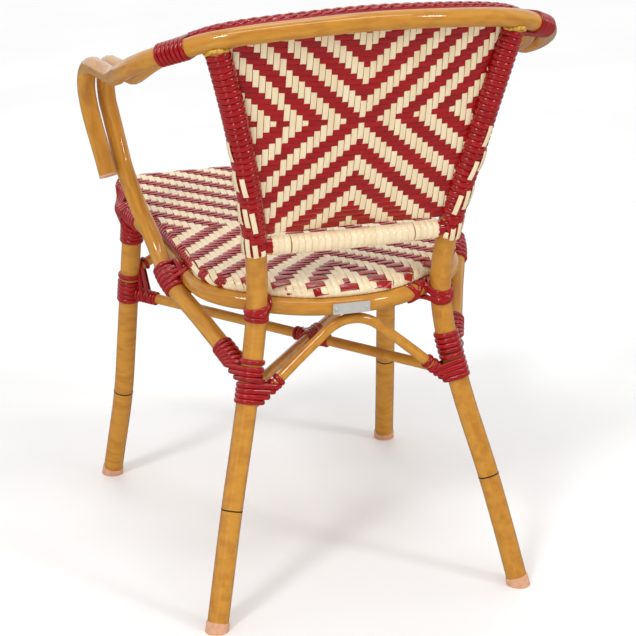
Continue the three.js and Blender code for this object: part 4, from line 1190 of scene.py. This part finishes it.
# Front joints: the leg's top under the ring, and the leg with its stretcher and arch.
TOP_TURNS = (384.5, 391, 397.5, 404)
CROSSED, CROSSED_DROP = ((0.9, 0.0), (-0.9, 1.2)), 12  # how the loops lean, and how high they lie
CROSSED_SHIFTS = (-9, -2.5, 4)
CORNER_TURNS, CORNER_DEPTHS, CORNER_STRAND = range(-52, 34, 7), range(-270, -196, 6), (6.6, 2.4)
LOW_TURNS, STRETCHER_MEETS = (329, 319, 312.5, 306, 299.5, 293), 303
STRETCHER_TURNS_FROM, STRETCHER_PITCH = 17, 5.1
WEB_LOOPS, ARCH_TURN_AT = ((182, -0.1), (177, 0.12)), 172
rings = tube(ring_route, RING_TUBE)
for side, sign in SIDES.items():
    legs = tube(front_legs[side], LEG_TUBE, 1)
    stretchers = through_line if side == "left" else halves_line
    strands = Strands()
    for height in TOP_TURNS:
        leg_turn(strands, [legs], height)
    # Crossed loops carry the ring on the leg.
    top = sided(front_top, side)
    ring_ahead = facing(way(rings[0], top), REAR)
    axis = leg_face(legs[0], 420, side)[1]
    for lean, rise in CROSSED:
        for shift in CROSSED_SHIFTS:
            spot = top - axis * CROSSED_DROP + ring_ahead * shift
            turn(strands, [legs, rings], spot, ring_ahead + axis * lean, rise, 6.6)
    # More turns hide the ring where it bends at the corner.
    corner_way = sided(even(ring_half[ring_half[:, 1] < -150], 1), side)
    corner_at = int(np.argmin(np.linalg.norm(corner_way - top, axis=1)))
    for shift in CORNER_TURNS:
        spot = corner_way[min(max(corner_at + shift, 1), len(corner_way) - 2)]
        turn(strands, [rings], spot, way(corner_way, spot), 0.0, 7.2)
    # Near the corner strands run down from the seat's rim to the ring.
    rim_beside = whole_edge[(whole_edge[:, 0] * sign > 190) & (whole_edge[:, 1] < -150)]
    for depth in CORNER_DEPTHS:
        x, y = rim_beside[np.argmin(abs(rim_beside[:, 1] - depth))]
        spot = corner_way[np.argmin(np.linalg.norm(corner_way[:, :2] - (x, y), axis=1))]
        out = unit(np.array([x, y, 0]) - (*spot[:2], 0))
        high = np.array([x, y, seat_plane(y) + SEAT_TOP - 7])
        low = spot + out * (RING_TUBE / 2 + 3)
        centres = smooth([high, high * 0.8 + low * 0.2, high * 0.3 + low * 0.7, low, low - (0, 0, 6)], 4)
        strands.lay(centres, [out] * len(centres), *CORNER_STRAND)
    red_piece(strands, side + "_front_corner_strands", side + "_front_corner_wrap")

    strands = Strands()
    for height in LOW_TURNS:
        leg_turn(strands, [legs, stretchers] if height < STRETCHER_MEETS else [legs], height)
    run = unit(stretchers[0][-1] - stretchers[0][0])
    for n in range(7):
        spot = stretchers[0][0] + run * (STRETCHER_TURNS_FROM + STRETCHER_PITCH * n)
        turn(strands, [stretchers], spot, run, 0.0, 5.0)
    # A web of long loops ties the arch down to the stretcher.
    arch_run = facing(way(front_arch, where(front_arch, 0, sign * 181)), run)
    for x, lean in WEB_LOOPS:
        spot = where(front_arch, 0, sign * x)
        turn(strands, [front_arches, stretchers], spot, arch_run + run + UP * lean, 0.0, 5.5)
    turn(strands, [front_arches], where(front_arch, 0, sign * ARCH_TURN_AT), arch_run, 0.0, 5.5)
    red_piece(strands, side + "_front_joint_strands", side + "_front_joint_wrap")

# Where the stretchers cross, they are bound on every side and lashed across.
THROUGH_SHIFTS, HALVES_SHIFTS = (-23, -17.5, -12, 15, 20.5, 26), (13, 18.5, 24)
ACROSS_SHIFTS = (-8, -2.7, 2.7, 8)
strands = Strands()
crossing_at = where(through_line[0], 0, 0.0)
through_way, halves_way = unit(through[1] - through[0]), unit(halves[0] - halves[1])
for shift in THROUGH_SHIFTS:
    turn(strands, [through_line], crossing_at + through_way * shift, through_way, 0.0, 5.2)
for shift in HALVES_SHIFTS:
    turn(strands, [halves_line], crossing_at + halves_way * shift + (0, 0, 2), halves_way, 0.0, 5.2)
for lean in (1, -1):
    axis = unit(through_way + lean * halves_way)
    for shift in ACROSS_SHIFTS:
        turn(strands, [through_line, halves_line], crossing_at + axis * shift, axis, 0.5 * lean, 5.2)
red_piece(strands, "crossing_strands", "crossing_wrap")

# Weld beads where the posts meet the crest rail: each follows the line where a little above the leg's
# surface the crest rail comes near. The bead swells and shrinks as one laid by hand.
WELD_HEIGHTS = np.arange(745, 771, 0.5)
for side in SIDES:
    centres, outs, sizes = [], [], []
    for n, angle in enumerate(np.linspace(0, 360, 45)[:-1]):
        for height in WELD_HEIGHTS:
            path = [(angle, height)]
            spot, out = (part[0] for part in round_leg(rear_legs[side], side, path, LEG_TUBE / 2 + 0.6))
            if np.linalg.norm(crest_route - spot, axis=1).min() < CREST_TUBE / 2 + 1.6:
                break
        centres.append(spot)
        outs.append(out)
        sizes.append(5.6 + 1.3 * math.sin(2.1 * n) + 0.8 * math.sin(5.3 * n + 1))
    bead = Strands()
    bead.lay(centres, outs, sizes, np.array(sizes) * 0.9, ROUND, closed=True)
    finished(bead.made(side + "_post_weld"), weld_paint, "bamboo_finish")


# Caps.
def moulded_disc(name, diameter, height, rounding, place, axis):
    """A thick disc with a rounded rim at its far end, centred on a place and turned to an axis."""
    deselect()
    bpy.ops.mesh.primitive_cylinder_add(vertices=48, radius=diameter / 2 * MM, depth=height * MM)
    disc = bpy.context.object
    disc.name = name
    bpy.ops.object.mode_set(mode="EDIT")
    bpy.ops.mesh.select_all(action="DESELECT")
    bpy.ops.object.mode_set(mode="OBJECT")
    for edge in disc.data.edges:
        edge.select = all(disc.data.vertices[v].co.z > 0 for v in edge.vertices)
    bpy.ops.object.mode_set(mode="EDIT")
    bpy.ops.mesh.bevel(offset=rounding * MM, segments=4)
    bpy.ops.object.mode_set(mode="OBJECT")
    turned = Vector((0, 0, 1)).rotation_difference(Vector(axis)).to_matrix().to_4x4()
    disc.data.transform(Matrix.Translation(metres(place)) @ turned)
    return disc


# Foot caps: moulded cups, turned round the leg's axis and cut flat at the floor.
FOOT_CAP = {"diameter": 30.6, "height": 24, "rounding": 1.6}
ARM_CAP = {"diameter": CREST_TUBE, "height": 3, "rounding": 1.1}
for side in SIDES:
    for end, leg in (("rear", rear_legs[side]), ("front", front_legs[side])):
        foot_at = leg[np.argmin(leg[:, 2])]
        axis = facing(way(leg, foot_at), UP)
        cap = moulded_disc(f"{side}_{end}_glide", **FOOT_CAP, place=foot_at, axis=axis)
        bpy.ops.object.mode_set(mode="EDIT")
        bpy.ops.mesh.select_all(action="SELECT")
        bpy.ops.mesh.bisect(plane_co=(0, 0, 0), plane_no=(0, 0, -1), clear_outer=True, use_fill=True)
        bpy.ops.object.mode_set(mode="OBJECT")
        rounded_by(cap, 35)
        finished(cap, cap_plastic, "cap_plastic", f"{side}_{end}_foot_cap")

# Arm end caps: thin moulded discs.
for side in SIDES:
    axis = unit(sided(crest_half[-1] - crest_half[-2], side))
    middle = sided(crest_half[-1], side) + axis * ARM_CAP["height"] / 2
    cap = moulded_disc(side + "_arm_end_plug", **ARM_CAP, place=middle, axis=axis)
    rounded_by(cap, 35)
    finished(cap, cap_plastic, "cap_plastic", side + "_arm_cap")

# The plate and its rivets keep their CAD shapes.
for node in ("name_plate", "left_plate_rivet", "right_plate_rivet"):
    bpy.data.objects[node].material_slots[0].material = plate_metal


# Floor, light and camera.
def studio_floor():
    """A matt pale sweep that takes the chair's soft shadow. Gloss sees it dimmer, as the room round it."""
    material, tree, shader = new_material("matt_studio_floor")
    place = add(tree, "TexCoord").outputs["Object"]
    dust = add(tree, "TexNoise", {"Vector": place, "Scale": 3.0, "Detail": 2.0})
    tone = add(tree, "ValToRGB", {"Fac": dust.outputs["Fac"]}, [(0.3, "#FBFBFB"), (0.7, "#FFFFFF")])
    tree.links.new(tone.outputs["Color"], shader.inputs["Base Color"])
    shader.inputs["Roughness"].default_value = 0.9
    dim = add(tree, "BsdfDiffuse", {"Color": (0.22, 0.22, 0.22, 1)})
    seen = add(tree, "LightPath").outputs["Is Glossy Ray"]
    mixed = add(tree, "MixShader", {0: seen, 1: shader.outputs["BSDF"], 2: dim.outputs["BSDF"]})
    tree.links.new(mixed.outputs["Shader"], tree.nodes["Material Output"].inputs["Surface"])
    return material


deselect()
bpy.ops.mesh.primitive_plane_add(size=14, location=(0, 0, 0))
floor = bpy.context.object
floor.name = "studio_floor"
floor.data.materials.append(studio_floor())

world = bpy.data.worlds.new("white_studio")
world.use_nodes = True
bpy.context.scene.world = world
tree = world.node_tree
tree.nodes.clear()
path = add(tree, "LightPath")
# Gloss shows a bright sweep behind the chair, and a dim room in front of it.
direction = add(tree, "SeparateXYZ", {0: add(tree, "TexCoord").outputs["Generated"]})
room = add(tree, "MapRange", {0: direction.outputs["Y"], 1: -0.6, 2: 0.5, 3: 0.9, 4: 0.12})
glossy = add(tree, "Background", {"Color": (1, 1, 1, 1), "Strength": room.outputs["Result"]})
plain = add(tree, "Background", {"Color": (1, 1, 1, 1), "Strength": 0.66})
white = add(tree, "Background", {"Color": (1, 1, 1, 1), "Strength": 1.0})
lit = add(tree, "MixShader", {0: path.outputs["Is Glossy Ray"], 1: plain.outputs[0], 2: glossy.outputs[0]})
mixed = add(tree, "MixShader", {0: path.outputs["Is Camera Ray"], 1: lit.outputs[0], 2: white.outputs[0]})
add(tree, "OutputWorld", {"Surface": mixed.outputs[0]})


def lamp(name, kind, place, target, energy, **settings):
    """A lamp that shines from a place towards a target and isn't seen itself."""
    light = bpy.data.lights.new(name, kind)
    light.energy = energy
    for setting, value in settings.items():
        setattr(light, setting, value)
    obj = bpy.data.objects.new(name, light)
    bpy.context.scene.collection.objects.link(obj)
    obj.location = place
    obj.rotation_euler = (Vector(target) - Vector(place)).to_track_quat("-Z", "Y").to_euler()
    obj.visible_camera = False


# Even lamps far away, as wide as large softboxes, and long softboxes over the chair and low beside a leg.
for name, place, spread, energy in (
    ("key_softbox", (1.5, 1.3, 1.9), 10, 0.7),
    ("fill_softbox", (-1.4, 1.6, 1.3), 10, 0.5),
    ("top_softbox", (-0.2, -0.9, 2.2), 24, 0.3),
):
    lamp(name, "SUN", place, (0, 0, 0), energy, angle=math.radians(spread))
for name, place, target, size, energy in (
    ("overhead_strip", (0.1, 1.1, 2.9), (0, 0, 0.5), (2.6, 0.32), 16),
    ("low_strip", (0.75, 1.0, 0.3), (0.2, 0.25, 0.25), (0.3, 0.7), 0.5),
):
    lamp(name, "AREA", place, target, energy, shape="RECTANGLE", size=size[0], size_y=size[1])

CAMERA_PLACE = (0.9557, 2.8514, 1.4079)
CAMERA_TURN, CAMERA_TILT, CAMERA_ROLL = (math.radians(a) for a in (161.187, 19.974, 0.107))
flat_share = math.cos(CAMERA_TILT)
back_to = np.array([
    math.sin(CAMERA_TURN) * flat_share, -math.cos(CAMERA_TURN) * flat_share, math.sin(CAMERA_TILT),
])
level = unit(np.cross(-back_to, UP))
upright = np.cross(level, -back_to)
right = math.cos(CAMERA_ROLL) * level + math.sin(CAMERA_ROLL) * upright
over_it = -math.sin(CAMERA_ROLL) * level + math.cos(CAMERA_ROLL) * upright
lens = bpy.data.cameras.new("photo_camera")
lens.lens = 131.4
lens.sensor_width = 36
camera = bpy.data.objects.new("photo_camera", lens)
bpy.context.scene.collection.objects.link(camera)
turned = Matrix([(*row,) for row in np.stack([right, over_it, back_to], axis=1)]).to_4x4()
camera.matrix_world = Matrix.Translation(CAMERA_PLACE) @ turned
bpy.context.scene.camera = camera
bpy.context.scene.view_settings.view_transform = "Standard"
